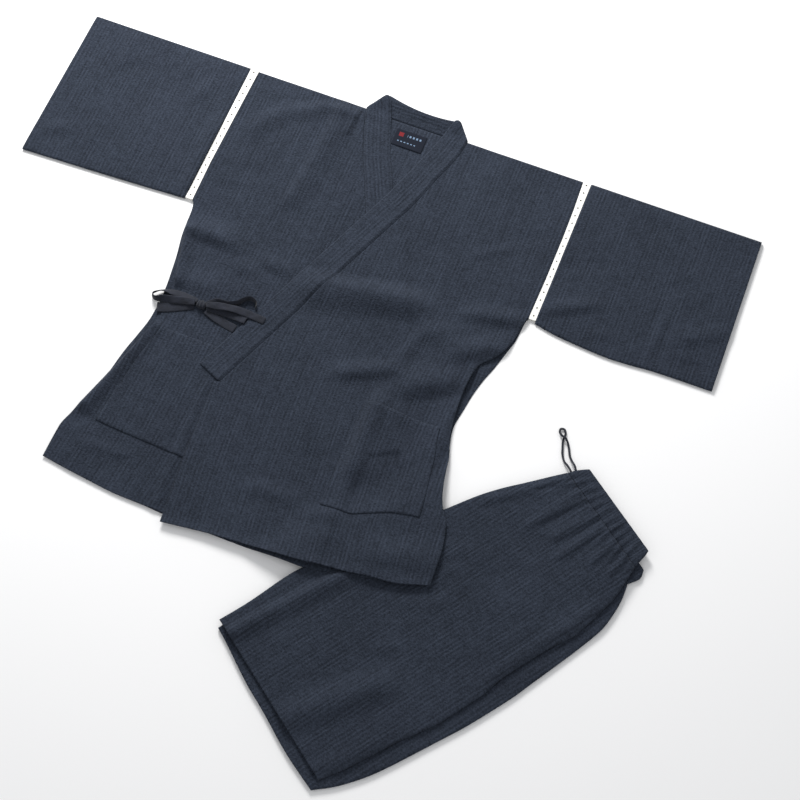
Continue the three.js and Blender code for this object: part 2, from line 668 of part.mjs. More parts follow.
// Ties and their bow: strips of sewn cloth. A row gives the strip's middle, width and lean.
const TIE_WALL = 1.8;
const TIES = {
  tie_side: [
    { x: -279, y: -487, z: 4.4, width: 14, lean: 0 },
    { x: -262, y: -479, z: 5, width: 14, lean: 0 },
    { x: -242, y: -468.5, z: 5.6, width: 12, lean: 6 },
    { x: -224, y: -460, z: 6.6, width: 9, lean: 10 },
  ],
  bow_loop_far: [
    { x: -222, y: -448.5, z: 8.6, width: 8, lean: 30 },
    { x: -240, y: -446.5, z: 7, width: 10, lean: 25 },
    { x: -262, y: -446, z: 6.4, width: 11, lean: 20 },
    { x: -280, y: -449, z: 7.4, width: 10, lean: 60 },
    { x: -291, y: -455, z: 8.2, width: 10, lean: 82 },
    { x: -297, y: -464, z: 8.2, width: 10, lean: 82 },
    { x: -290, y: -471, z: 8.2, width: 10, lean: 82 },
    { x: -276, y: -467.5, z: 9.4, width: 10, lean: 60 },
    { x: -258, y: -461.5, z: 10.4, width: 9, lean: 25 },
    { x: -240, y: -457.5, z: 10.6, width: 8, lean: 20 },
    { x: -224, y: -453.5, z: 12.2, width: 8, lean: 10 },
  ],
  bow_loop_near: [
    { x: -204.6, y: -447.6, z: 10.4, width: 6, lean: 20 },
    { x: -190, y: -440, z: 9.5, width: 8, lean: 40 },
    { x: -172, y: -435, z: 9, width: 9, lean: 70 },
    { x: -157, y: -427, z: 9, width: 9, lean: 86 },
    { x: -151, y: -417, z: 9, width: 9, lean: 88 },
    { x: -141, y: -411.5, z: 9, width: 9, lean: 88 },
    { x: -130.5, y: -415.5, z: 9, width: 9, lean: 88 },
    { x: -126.5, y: -424, z: 9.6, width: 7, lean: 88 },
  ],
  tie_tail_long: [
    { x: -203.5, y: -451, z: 13.2, width: 7, lean: 0 },
    { x: -186, y: -446, z: 13.8, width: 9, lean: 0 },
    { x: -168, y: -442.5, z: 13.9, width: 9.5, lean: 0 },
    { x: -148, y: -441, z: 12, width: 9.5, lean: 0 },
    { x: -128, y: -441, z: 9.2, width: 9.5, lean: 0 },
    { x: -104, y: -442, z: 8.42, width: 10, lean: 0 },
  ],
  tie_tail_short: [
    { x: -201.5, y: -454.5, z: 9, width: 7, lean: 10 },
    { x: -184, y: -451.5, z: 7.8, width: 9, lean: 12 },
    { x: -166, y: -450.5, z: 7.6, width: 9, lean: 10 },
    { x: -148, y: -451.5, z: 8.2, width: 9, lean: 0 },
    { x: -133, y: -452.5, z: 9.4, width: 9, lean: 0 },
  ],
  tie_front: [
    { x: -202, y: -459.5, z: 6, width: 7, lean: -10 },
    { x: -186, y: -462.5, z: 5, width: 10, lean: -6 },
    { x: -168, y: -464.5, z: 4.6, width: 12, lean: 0 },
    { x: -144.5, y: -466.5, z: 4.6, width: 13, lean: 0 },
  ],
};
const KNOT = { x: -212.5, y: -453, z: 8.6, long: 8.6, wide: 8, high: 5.2 };

function strip(name, rows) {
  const side = (row, i) => {
    const a = rows[Math.max(0, i - 1)];
    const b = rows[Math.min(rows.length - 1, i + 1)];
    const along = new THREE.Vector3(b.x - a.x, b.y - a.y, 0).normalize();
    const lean = THREE.MathUtils.degToRad(row.lean);
    const flat = new THREE.Vector3(-along.y, along.x, 0);
    const up = new THREE.Vector3(0, 0, 1);
    const width = flat.clone().multiplyScalar(Math.cos(lean)).addScaledVector(up, Math.sin(lean));
    const face = up.clone().multiplyScalar(Math.cos(lean)).addScaledVector(flat, -Math.sin(lean));
    return { width, face };
  };
  const layer = (out) => rows.map((row, i) => {
    const { width, face } = side(row, i);
    return [-0.5, 0, 0.5].map((w) => new THREE.Vector3(row.x, row.y, row.z)
      .addScaledVector(width, w * row.width)
      .addScaledVector(face, out * TIE_WALL / 2)
      .toArray());
  });
  piece(jacket, name, slab(layer(1), layer(-1)), 'tie');
}

function bow() {
  for (const [name, rows] of Object.entries(TIES)) strip(name, rows);
  const knot = new THREE.SphereGeometry(1, 12, 8);
  knot.scale(KNOT.long, KNOT.wide, KNOT.high);
  knot.translate(KNOT.x, KNOT.y, KNOT.z);
  piece(jacket, 'bow_knot', knot, 'tie');
}

// Trousers: each leg is a flattened tube, and each half of the gathered casing another at its upper end.
// Towards the waist the under leg is fuller, and the upper one lies higher on it.
const FULL_START = 430;
const FULLNESS = 2;
const upperLevel = (y) => LEG_HEIGHT + GAP + (FULLNESS + 0.5) * smooth((y - FULL_START) / 110);
const underHeight = (y) => LEG_HEIGHT + FULLNESS * smooth((y - FULL_START) / 100);

function leg(name, outline, counts, level, height, folds) {
  const first = outline[0].y;
  const last = outline[outline.length - 1].y;
  const stations = divide([first, last], [counts.along]);
  const rings = (inset) => stations.map((y) => {
    const across = acrossTube(read(outline, 'y', 'inner', y), read(outline, 'y', 'outer', y), counts.across);
    const fold = (x) => foldHeight(folds, x, y);
    const hem = name === 'leg_under' ? hemSag(y) : () => 0;
    return flatRing(across, level(y), height(y), fold, inset).map(([x, z]) => [x, y + hem(x), z]);
  });
  piece(trousers, name, tube(rings(0), rings(WALL)), 'cloth');
}

// The under leg's hem lies close under the upper one at its inner corner and sags a little past the middle
const HEM_RISE = 8;
const HEM_SAG = 2;
const hemSag = (y) => (x) => {
  const rise = HEM_RISE * smooth((-20 - x) / 120) - HEM_SAG * smooth(1 - Math.abs(x - 85) / 90);
  return rise * smooth((40 - y) / 60);
};

// Half of the gathered casing: ripples spread evenly across it, deepest where the leg is sewn on
function casing(name, rows, count, level, height, ripple) {
  const rings = (inset) => rows.map((row) => {
    const across = acrossTube(row.inner, row.outer, count);
    const fold = (x) => {
      const turn = (x - row.inner) / (row.outer - row.inner) * GATHERS * 2 * Math.PI;
      return ripple * row.ripple * (1 - Math.cos(turn)) / 2;
    };
    return flatRing(across, level, height, fold, inset).map(([x, z]) => [x, row.y, z]);
  });
  piece(trousers, name, tube(rings(0), rings(WALL)), 'cloth');
}

const CASING_UPPER = [
  { y: LEG_LENGTH + GAP, inner: -51, outer: 132, ripple: 1 },
  { y: LEG_LENGTH + 10, inner: -49, outer: 130, ripple: 0.9 },
  { y: LEG_LENGTH + 22, inner: -44, outer: 127, ripple: 0.6 },
  { y: LEG_LENGTH + CASING_LENGTH, inner: -38, outer: 123, ripple: 0.25 },
];
const UPPER_RIPPLE = 3;
const UNDER_RIPPLE = 1.2;
const CASING_UNDER = [
  { y: UNDER_LENGTH + GAP, inner: -54, outer: 147, ripple: 1 },
  { y: UNDER_LENGTH + 22, inner: -46, outer: 151, ripple: 0.8 },
  { y: UNDER_LENGTH + CASING_LENGTH + 3, inner: -42, outer: 143, ripple: 0.3 },
];

function trouserPieces() {
  leg('leg_under', UNDER_LEG, { along: 9, across: 6 }, () => 0, underHeight, []);
  leg('leg_upper', UPPER_LEG, { along: 15, across: 15 }, upperLevel, () => LEG_HEIGHT, TROUSER_FOLDS);
  casing('casing_under', CASING_UNDER, 2 * GATHERS, 0, LEG_HEIGHT + 2 * GAP, UNDER_RIPPLE);
  casing('casing_upper', CASING_UPPER, 4 * GATHERS, upperLevel(LEG_LENGTH), LEG_HEIGHT, UPPER_RIPPLE);
}

// Loop of the drawstring, out of the casing's end and back in
const CORD = { width: 3.6, sides: 8, steps: 44 };
const CORD_ROUTE = [
  { x: 453.2, y: -506.8, z: 11 },
  { x: 449.6, y: -502.9, z: 10.2 },
  { x: 444.5, y: -497.6, z: 7 },
  { x: 437, y: -491.5, z: 3.6 },
  { x: 431, y: -482, z: 2.4 },
  { x: 427.5, y: -472, z: 2.2 },
  { x: 424.5, y: -462, z: 2.2 },
  { x: 423.5, y: -454, z: 2.2 },
  { x: 423.8, y: -446, z: 2.2 },
  { x: 419.5, y: -439.5, z: 2.2 },
  { x: 413.5, y: -441, z: 2.2 },
  { x: 414.5, y: -447.5, z: 3.4 },
  { x: 420, y: -452.5, z: 6.4 },
  { x: 427, y: -454.5, z: 5.6 },
  { x: 433.5, y: -461.5, z: 2.6 },
  { x: 438.5, y: -471, z: 2.2 },
  { x: 442.5, y: -479.5, z: 2.4 },
  { x: 448.5, y: -487, z: 5 },
  { x: 455.5, y: -494.8, z: 9.6 },
  { x: 459.8, y: -502, z: 11 },
];

function drawstring() {
  const route = new THREE.CatmullRomCurve3(CORD_ROUTE.map((p) => new THREE.Vector3(p.x, p.y, p.z)));
  const section = new THREE.Shape();
  for (let i = 0; i < CORD.sides; i += 1) {
    const turn = (i / CORD.sides) * 2 * Math.PI;
    const x = (CORD.width / 2) * Math.cos(turn);
    const y = (CORD.width / 2) * Math.sin(turn);
    if (i === 0) section.moveTo(x, y);
    else section.lineTo(x, y);
  }
  const geometry = new THREE.ExtrudeGeometry(section, { steps: CORD.steps, extrudePath: route });
  piece(jacket, 'drawstring', geometry, 'tie');
}

bodyPanels();
collar();
for (const name of Object.keys(SLEEVES)) sleeve(name);
for (const name of Object.keys(LACES)) lace(name);
label();
bow();
trouserPieces();
drawstring();

trousers.position.set(TROUSERS.x, TROUSERS.y, 0);
trousers.rotation.z = TROUSERS.turn;
const jinbei = new THREE.Group();
jinbei.position.set(-MIDDLE.x, -MIDDLE.y, 0);
jinbei.add(jacket, trousers);

export default jinbei;
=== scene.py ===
# Jinbei, a Japanese summer set laid flat: a wide-sleeved wrap jacket, its hem over folded trousers.
# The tables are in millimetres, in the jacket's own frame: X along the shoulder line, Y from hem to neck.
import math
from collections import namedtuple

import bpy
import numpy as np
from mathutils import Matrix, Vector


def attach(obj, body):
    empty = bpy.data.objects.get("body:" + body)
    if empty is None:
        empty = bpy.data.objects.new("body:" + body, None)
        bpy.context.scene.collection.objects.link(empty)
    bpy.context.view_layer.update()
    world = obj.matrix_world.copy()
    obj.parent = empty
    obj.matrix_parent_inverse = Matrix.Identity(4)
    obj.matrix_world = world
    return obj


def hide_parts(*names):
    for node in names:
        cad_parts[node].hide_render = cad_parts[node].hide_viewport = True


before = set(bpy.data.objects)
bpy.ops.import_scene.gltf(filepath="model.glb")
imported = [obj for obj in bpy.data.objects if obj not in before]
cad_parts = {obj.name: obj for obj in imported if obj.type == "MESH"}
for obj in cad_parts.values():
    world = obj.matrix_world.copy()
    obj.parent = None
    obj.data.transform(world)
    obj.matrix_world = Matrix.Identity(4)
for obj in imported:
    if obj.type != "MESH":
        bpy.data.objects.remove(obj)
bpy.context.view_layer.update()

MM = 0.001
BODY = "root"

# Cloth and stacking, as in the solids
WALL = 1.3
GAP = 0.3
BAND_WALL = 2.4
UNDER_LAYER = WALL + GAP
LAP_RISE = 3.2
SHOULDER_FOLD = 4

# Sizes of the jacket
HEM_ROW = 802
BAND_WIDTH = 47
BAND_END = -567.7
SEAM = 0.45
NECK_RISE = 8
NECK_STRETCH = 38
PEAK_RIGHT = 33.6
PEAK_LEFT = 30.2
PEAK_ROUND = 5

# Where the upper front starts to lie crisply on the under one, and how far past its edge the step reaches
CRISP_START = -470
CRISP_RUN = 90
LAP_REACH = 40
CRISP_REACH = 24
LAP_SLOPE = 22
CRISP_SLOPE = 8

# Upper edge of the collar's back stretch: its height, its slant and how far it dips in the middle
NECK_TOP_ROW = 33
NECK_EDGE = 31.3
NECK_SLANT = 0.031
NECK_DIP = 6.5
NECK_HALF = 62

# Sleeves and pockets
SLEEVE_HEIGHT = 5.2
POCKET_TOP = -512
POCKET_BOTTOM = -702

# Sizes of the trousers
LEG_LENGTH = 585
UNDER_LENGTH = 560
LEG_HEIGHT = 5.5
HEM_RISE = 8
HEM_SAG = 3.5
CASING_LENGTH = 33
GATHERS = 12
TROUSER_STACK = 2 * LEG_HEIGHT + GAP
LIFT_START = 92
LIFT_END = 22
LOOSE = 1.5
LOOSE_START = 160
EDGE_ROUND = 4

# The middle of the whole set in the jacket's own coordinates, and the trousers' place and turn
MIDDLE = np.array([-1, -540.12, 0])
TROUSERS = (147, -1015.5)
TROUSERS_TURN = math.radians(-35.9)

# Cells of the cloth's grids
CELL = 4.0
FINE_CELL = 2.5
HIDDEN_CELL = 8.0


# Small tools

def smooth(t):
    c = np.clip(t, 0, 1)
    return c * c * (3 - 2 * c)


def columns(names, *rows):
    """A table with named columns, in rising order of its first one"""
    return dict(zip(names.split(), np.array(sorted(rows), float).T))


def glide(table, column, at, along="y"):
    """Reads a column along a soft curve through the table's points, with no swing past them"""
    x = table[along]
    y = table[column]
    slope = np.diff(y) / np.diff(x)
    same_way = slope[:-1] * slope[1:] > 0
    both = np.where(same_way, slope[:-1] + slope[1:], 1)
    inner = np.where(same_way, 2 * slope[:-1] * slope[1:] / both, 0)
    tangent = np.concatenate([slope[:1], inner, slope[-1:]])
    at = np.clip(at, x[0], x[-1])
    i = np.clip(np.searchsorted(x, at) - 1, 0, len(x) - 2)
    step = x[i + 1] - x[i]
    t = (at - x[i]) / step
    return (
        (2 * t**3 - 3 * t**2 + 1) * y[i]
        + (t**3 - 2 * t**2 + t) * step * tangent[i]
        + (3 * t**2 - 2 * t**3) * y[i + 1]
        + (t**3 - t**2) * step * tangent[i + 1]
    )


def divide(stops, cells):
    """Values from stop to stop, in equal steps no longer than the cell given for each stretch"""
    values = [np.array([stops[0]], float)]
    for a, b, cell in zip(stops, stops[1:], cells):
        count = max(1, math.ceil(abs(b - a) / cell - 1e-6))
        values.append(np.linspace(a, b, count + 1)[1:])
    return np.concatenate(values)


Fold = namedtuple("Fold", "x1 y1 x2 y2 width height bow lean", defaults=(0, 1))


def fold_height(folds, x, y):
    """Height of soft folds at points. A fold is a ridge, or a trough where its height is negative.
    bow bends its line sideways, and lean is how wide its right-hand flank is, against the other one."""
    height = np.zeros(np.broadcast(x, y).shape)
    for f in folds:
        dx = f.x2 - f.x1
        dy = f.y2 - f.y1
        length = math.hypot(dx, dy)
        along = ((x - f.x1) * dx + (y - f.y1) * dy) / length
        across = ((x - f.x1) * dy - (y - f.y1) * dx) / length
        share = np.clip(along / length, 0, 1)
        across = across - 4 * f.bow * share * (1 - share)
        across = np.where(across > 0, across / f.lean, across)
        ends = smooth((along + f.width) / (2 * f.width)) * smooth((length - along + f.width) / (2 * f.width))
        height = height + f.height * ends * smooth(1 - np.abs(across) / f.width)
    return height


def hills(x, y, size_x, size_y, seed):
    """Seeded noise between -1 and 1, with soft hills of the size given"""
    values = np.random.default_rng(seed).uniform(-1, 1, (256, 256))
    gx = np.asarray(x) / size_x + 70
    gy = np.asarray(y) / size_y + 70
    ix = np.floor(gx).astype(int)
    iy = np.floor(gy).astype(int)
    tx = smooth(gx - ix)
    ty = smooth(gy - iy)
    ix %= 255
    iy %= 255
    low = values[ix, iy] * (1 - tx) + values[ix + 1, iy] * tx
    high = values[ix, iy + 1] * (1 - tx) + values[ix + 1, iy + 1] * tx
    return low * (1 - ty) + high * ty


def rumple(x, y, seed):
    """The uneven rise of crepe that has been worn and washed, in millimetres, never below zero"""
    turned_x = 0.94 * x + 0.34 * y
    turned_y = 0.94 * y - 0.34 * x
    soft = 0.42 * hills(x, y, 46, 74, seed) + 0.26 * hills(turned_x, turned_y, 27, 40, seed + 1)
    small = 0.11 * hills(x, y, 11, 15, seed + 2) + 0.09 * hills(turned_x, turned_y, 9, 8, seed + 3)
    return np.maximum(0.8 + soft + small, 0)


# Meshes

def make_piece(name, points, faces, weave, material):
    """A smooth mesh from points in millimetres, in place of the node of its name, with the cloth's own
    coordinates kept for its weave"""
    points = (np.asarray(points, float) - MIDDLE) * MM
    a, b, c, d = (points[faces[:, i]] for i in range(4))
    volume = np.einsum("ij,ij->i", a, np.cross(b, c)) + np.einsum("ij,ij->i", a, np.cross(c, d))
    if volume.sum() < 0:
        faces = faces[:, ::-1]
    mesh = bpy.data.meshes.new(name)
    mesh.vertices.add(len(points))
    mesh.vertices.foreach_set("co", points.ravel())
    mesh.loops.add(faces.size)
    mesh.loops.foreach_set("vertex_index", faces.ravel())
    mesh.polygons.add(len(faces))
    mesh.polygons.foreach_set("loop_start", np.arange(0, faces.size, 4))
    mesh.polygons.foreach_set("use_smooth", np.ones(len(faces), bool))
    mesh.update(calc_edges=True)
    mesh.validate()
    attribute = mesh.attributes.new("weave", "FLOAT_VECTOR", "POINT")
    attribute.data.foreach_set("vector", (np.asarray(weave, float) * MM).ravel())
    mesh.materials.append(material)
    piece = bpy.data.objects.new(name, mesh)
    bpy.context.scene.collection.objects.link(piece)
    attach(piece, BODY)
    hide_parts(name)
    return piece


def cells(index):
    """The four corners of each cell of a grid of numbers"""
    corners = [index[:-1, :-1], index[1:, :-1], index[1:, 1:], index[:-1, 1:]]
    return np.stack([c.ravel() for c in corners], 1)


def shell(name, top, bottom, weave, material, roll=0.45):
    """A closed wall of cloth between two equal grids of points, with a rounded edge"""
    rows, across = top.shape[:2]
    index = np.arange(rows * across).reshape(rows, across)
    rim = np.concatenate([index[0, :-1], index[:-1, -1], index[-1, :0:-1], index[:0:-1, 0]])
    inner = np.concatenate([index[1, :-1], index[:-1, -2], index[-2, :0:-1], index[:0:-1, 1]])
    flat_top = top.reshape(-1, 3)
    flat_bottom = bottom.reshape(-1, 3)
    out = flat_top[rim] - flat_top[inner]
    out /= np.maximum(np.linalg.norm(out, axis=1, keepdims=True), 1e-6)
    middle = (flat_top[rim] + flat_bottom[rim]) / 2 + roll * out
    points = np.concatenate([flat_top, flat_bottom, middle])
    size = rows * across
    ring = 2 * size + np.arange(len(rim))
    after = np.roll(np.arange(len(rim)), -1)
    faces = np.concatenate([
        cells(index),
        cells(index)[:, ::-1] + size,
        np.stack([rim, rim[after], ring[after], ring], 1),
        np.stack([ring, ring[after], rim[after] + size, rim + size], 1),
    ])
    flat_weave = weave.reshape(-1, 3)
    return make_piece(
        name, points, faces, np.concatenate([flat_weave, flat_weave, flat_weave[rim]]), material
    )


def ring_faces(rings, around):
    """Faces of closed rings, the same rings again on the other side, and the two ends between them"""
    size = rings * around
    index = np.arange(size).reshape(rings, around)
    wrapped = np.concatenate([index, index[:, :1]], 1)
    faces = [cells(wrapped), cells(wrapped)[:, ::-1] + size]
    for ring, flip in ((wrapped[0], False), (wrapped[-1], True)):
        end = np.stack([ring[:-1], ring[1:], ring[1:] + size, ring[:-1] + size], 1)
        faces.append(end[:, ::-1] if flip else end)
    return np.concatenate(faces)


def hose(name, outer, inner, weave, material):
    """A closed wall round a hollow that is open at both ends: rings outside, and the same rings moved in"""
    points = np.concatenate([outer.reshape(-1, 3), inner.reshape(-1, 3)])
    flat_weave = weave.reshape(-1, 3)
    return make_piece(
        name, points, ring_faces(*outer.shape[:2]), np.concatenate([flat_weave, flat_weave]), material
    )


def stack(x, y, z):
    return np.stack(np.broadcast_arrays(x, y, z), -1).astype(float)


def run_length(points):
    """How far a line of points has run, at each of them"""
    return np.concatenate([[0], np.cumsum(np.linalg.norm(np.diff(points, axis=0), axis=1))])


# Materials

def shader(name, roughness, sheen, specular=0.25):
    material = bpy.data.materials.new(name)
    material.use_nodes = True
    tree = material.node_tree
    surface = tree.nodes["Principled BSDF"]
    surface.inputs["Roughness"].default_value = roughness
    surface.inputs["Sheen Weight"].default_value = sheen
    surface.inputs["Sheen Roughness"].default_value = 0.55
    surface.inputs["Specular IOR Level"].default_value = specular
    return material, tree, surface


def linear(red, green, blue):
    """A colour as the renderer counts light, from 0 to 255 steps of a screen"""
    return [*(((c / 255 + 0.055) / 1.055) ** 2.4 for c in (red, green, blue)), 1]


def node(tree, kind, **inputs):
    made = tree.nodes.new("ShaderNode" + kind)
    for key, value in inputs.items():
        if hasattr(made, key):
            setattr(made, key, value)
        else:
            made.inputs[key.replace("_", " ")].default_value = value
    return made


def mapped(tree, attribute, scale):
    """The cloth's coordinates times a scale along each of them"""
    multiply = node(tree, "VectorMath", operation="MULTIPLY")
    tree.links.new(attribute.outputs["Vector"], multiply.inputs[0])
    multiply.inputs[1].default_value = scale
    return multiply.outputs["Vector"]


def noise(tree, vector, detail=2.0, roughness=0.5, distortion=0.0):
    made = node(tree, "TexNoise", Detail=detail, Roughness=roughness, Distortion=distortion, Scale=1.0)
    tree.links.new(vector, made.inputs["Vector"])
    return made.outputs["Fac"]


def math_node(tree, operation, a, b):
    made = node(tree, "Math", operation=operation)
    for socket, value in zip(made.inputs, (a, b)):
        if isinstance(value, (int, float)):
            socket.default_value = value
        else:
            tree.links.new(value, socket)
    return made.outputs[0]


def total(tree, *terms):
    """Adds up values, each times its own share"""
    made = None
    for value, share in terms:
        term = math_node(tree, "MULTIPLY", value, share)
        made = math_node(tree, "ADD", made, term) if made else term
    return made


def spread(tree, value, low, high, to_low=0.0, to_high=1.0):
    made = node(tree, "MapRange")
    tree.links.new(value, made.inputs["Value"])
    for key, number in (("From Min", low), ("From Max", high), ("To Min", to_low), ("To Max", to_high)):
        made.inputs[key].default_value = number
    return made.outputs["Result"]


def blend_colours(tree, share, a, b):
    made = node(tree, "Mix", data_type="RGBA")
    for socket, value in ((made.inputs[0], share), (made.inputs[6], a), (made.inputs[7], b)):
        if isinstance(value, list):
            socket.default_value = value
        else:
            tree.links.new(value, socket)
    return made.outputs[2]


def bumps(tree, surface, layers):
    """Adds height layers one after the other, each with its depth in metres"""
    normal = None
    for height, depth, strength in layers:
        made = node(tree, "Bump", Distance=depth, Strength=strength)
        tree.links.new(height, made.inputs["Height"])
        if normal:
            tree.links.new(normal, made.inputs["Normal"])
        normal = made.outputs["Normal"]
    tree.links.new(normal, surface.inputs["Normal"])


# The ribs' repeat, and how strong each of its harmonics is: how many waves in the repeat, share and shift
RIB_REPEAT = 26.4
RIB_WAVES = ((1, 0.22, 0.0), (2, 0.2, 1.0), (4, 1.0, 0.0), (5, 0.34, 0.8))


def crepe(name, dark, light):
    """Cotton crepe: soft ribs along the cloth, four to a repeat, broken by fine crinkles across them, with
    painted shade darkening their troughs
    """
    material, tree, surface = shader(name, 0.97, 0.03, 0.1)
    weave = node(tree, "Attribute", attribute_name="weave")
    split = node(tree, "SeparateXYZ")
    tree.links.new(weave.outputs["Vector"], split.inputs[0])
    sway = noise(tree, mapped(tree, weave, (45, 12, 1)), 1.0, 0.5)
    turn = total(tree, (split.outputs["X"], 2 * math.pi / (RIB_REPEAT * MM)), (sway, 0.7))
    waves = []
    for count, share, shift in RIB_WAVES:
        waves.append((math_node(tree, "COSINE", total(tree, (turn, count), (1.0, shift)), 0), share))
    even = spread(tree, noise(tree, mapped(tree, weave, (60, 28, 1)), 2.0, 0.5), 0.3, 0.7, 0.3, 1.35)
    ribs = math_node(tree, "MULTIPLY", total(tree, *waves), even)
    crinkle = noise(tree, mapped(tree, weave, (300, 380, 1)), 2.0, 0.65, 0.3)
    puckers = noise(tree, mapped(tree, weave, (110, 120, 1)), 1.0, 0.5, 0.4)
    patches = noise(tree, mapped(tree, weave, (46, 40, 1)), 1.0, 0.5)
    broad = noise(tree, mapped(tree, weave, (11, 8, 1)), 2.0, 0.5)
    thread = noise(tree, mapped(tree, weave, (1300, 1300, 1)), 1.0, 0.5)
    relief = total(tree, (ribs, 0.14), (crinkle, 1.4), (puckers, 0.55), (patches, 0.4))
    # Painted shade: the colour runs from dark to light with the same ribs, crinkles, puckers and patches that
    # the bump raises, so troughs and hollows are painted darker; only the broad noise is random tone
    tone = total(
        tree, (ribs, 0.17), (crinkle, 2.0), (puckers, 0.6), (patches, 0.35), (broad, 0.5), (1.0, -1.3),
    )
    base = blend_colours(tree, spread(tree, tone, 0.0, 1.0), linear(*dark), linear(*light))
    tree.links.new(base, surface.inputs["Base Color"])
    bumps(tree, surface, [(relief, 0.0011, 1.0), (thread, 0.0002, 0.4)])
    return material


def plain_weave(name, dark, light, scale=(900, 900, 1), roughness=0.9, depth=0.0004, sheen=0.1):
    """A fine even weave of two tones"""
    material, tree, surface = shader(name, roughness, sheen)
    weave = node(tree, "Attribute", attribute_name="weave")
    grain = noise(tree, mapped(tree, weave, scale), 2.0, 0.6)
    soft = noise(tree, mapped(tree, weave, (60, 60, 1)), 2.0, 0.5)
    tone = total(tree, (grain, 0.6), (soft, 0.4))
    tree.links.new(
        blend_colours(tree, spread(tree, tone, 0.38, 0.62), linear(*dark), linear(*light)),
        surface.inputs["Base Color"],
    )
    bumps(tree, surface, [(grain, depth, 0.6)])
    return material


CLOTH = crepe("crepe_navy", dark=(34, 39, 48), light=(57, 64, 77))
LACE = plain_weave("lace_cream", (244, 243, 236), (254, 253, 250), (700, 700, 1), depth=0.0003)
TAPE = plain_weave("tape_charcoal", (24, 27, 34), (38, 42, 54), (420, 1100, 1), depth=0.0004)
BRAID = plain_weave("braid_dark", (26, 28, 34), (48, 51, 60), (700, 1500, 1), depth=0.0005)


# Main folds of the jacket and the trousers

LEFT_FOLDS = [
    Fold(-68, -354, 30, -336, 36, 12, 0, 1.45),
    Fold(30, -336, 132, -318, 36, 14, 0, 1.2),
    Fold(200, -306, 296, -284, 27, 7, 0, 0.75),
    Fold(196, -386, 284, -338, 34, 8, 0, 0.75),
    Fold(148, -358, 196, -350, 30, 6.5, 0, 1.2),
    Fold(150, -470, 228, -424, 50, 12, 0, 0.6),
    Fold(38, -486, 128, -444, 27, 7, 0, 0.75),
    Fold(128, -705, 124, -492, 20, 4, 0, 1.1),
    Fold(128, -640, 124, -496, 26, 9, 0, 2.8),
    Fold(243, -590, 238, -476, 34, 5, 0, 0.5),
    Fold(196, -756, 304, -728, 44, 7.5, 0, 0.85),
]
RIGHT_FOLDS = [
    Fold(-292, -327, -208, -329, 40, 10, 0, 0.55),
    Fold(-272, -118, -222, -54, 24, 4.5, -4, 1.4),
    Fold(-222, -54, -158, -20, 22, 4.5, 3, 1.3),
    Fold(-156, -226, -138, -8, 20, 6.5, 5, 1.9),
    Fold(-262, -420, -205, -414, 34, 4.5, 0, 0.7),
    Fold(-150, -338, -106, -342, 24, 5, 0, 0.8),
    Fold(-268, -434, -293, -326, 9, 8, 0, 2.6),
    Fold(-322, -690, -269, -506, 9, 10, 3, 2.8),
]
TROUSER_FOLDS = [
    Fold(-118, -6, -100, 205, 17, 8, 0, 1.6),
    Fold(38, -6, 80, 172, 38, 9, 0, 0.95),
    Fold(146, -6, 158, 110, 38, 5, 0, 0.4),
    Fold(164, 280, 160, 505, 24, 5, 0, 0.4),
    Fold(-90, 448, -40, 600, 14, 5, 0, 1.4),
    Fold(-14, 480, -8, 600, 15, 3.5),
    Fold(24, 500, 30, 600, 13, 3.5),
    Fold(55, 490, 54, 600, 11, 4),
    Fold(88, 530, 84, 600, 12, 3),
    Fold(120, 540, 108, 600, 10, 3.5),
]

# Finer creases
LEFT_CREASES = [
    Fold(246, -386, 245, -482, 9, 2.8),
    Fold(-14, -715, 55, -711, 22, 4),
    Fold(92, -722, 142, -712, 20, 4),
    Fold(-116, -822, 100, -805, 20, 2.6),
    Fold(100, -805, 300, -772, 20, 2.6),
    Fold(90, -222, 150, -186, 14, -1.8),
    Fold(172, -202, 232, -166, 14, 2),
    Fold(240, -146, 280, -118, 16, -1.8),
    Fold(120, -445, 150, -352, 18, 3.2, 0, 1.3),
    Fold(60, -60, 90, -200, 22, 1.3, 10),
    Fold(170, -40, 195, -150, 26, 1.3, -12),
    Fold(-60, -600, -40, -690, 22, 1.1, 8),
    Fold(20, -560, 40, -690, 24, 1.1, -8),
    Fold(40, -640, 92, -622, 20, -1.5),
]
RIGHT_CREASES = [
    Fold(-165, -24, -108, -22, 18, 3.2),
    Fold(-113, -64, -109, -8, 12, 4, 0, 0.55),
    Fold(-192, -366, -160, -360, 24, 3.5),
    Fold(-140, -800, -147, -576, 14, 3, 0, 0.6),
    Fold(-250, -195, -214, -186, 18, -2),
    Fold(-276, -236, -246, -232, 16, -1.6),
    Fold(-210, -60, -196, -150, 10, -1.4),
    Fold(-296, -742, -200, -738, 16, 2.2),
    Fold(-244, -770, -206, -736, 10, -1.8),
    Fold(-330, -712, -290, -704, 14, -2.2),
    Fold(-232, -520, -226, -640, 22, 1.1, 6),
    Fold(-176, -600, -170, -690, 22, 1, -6),
]
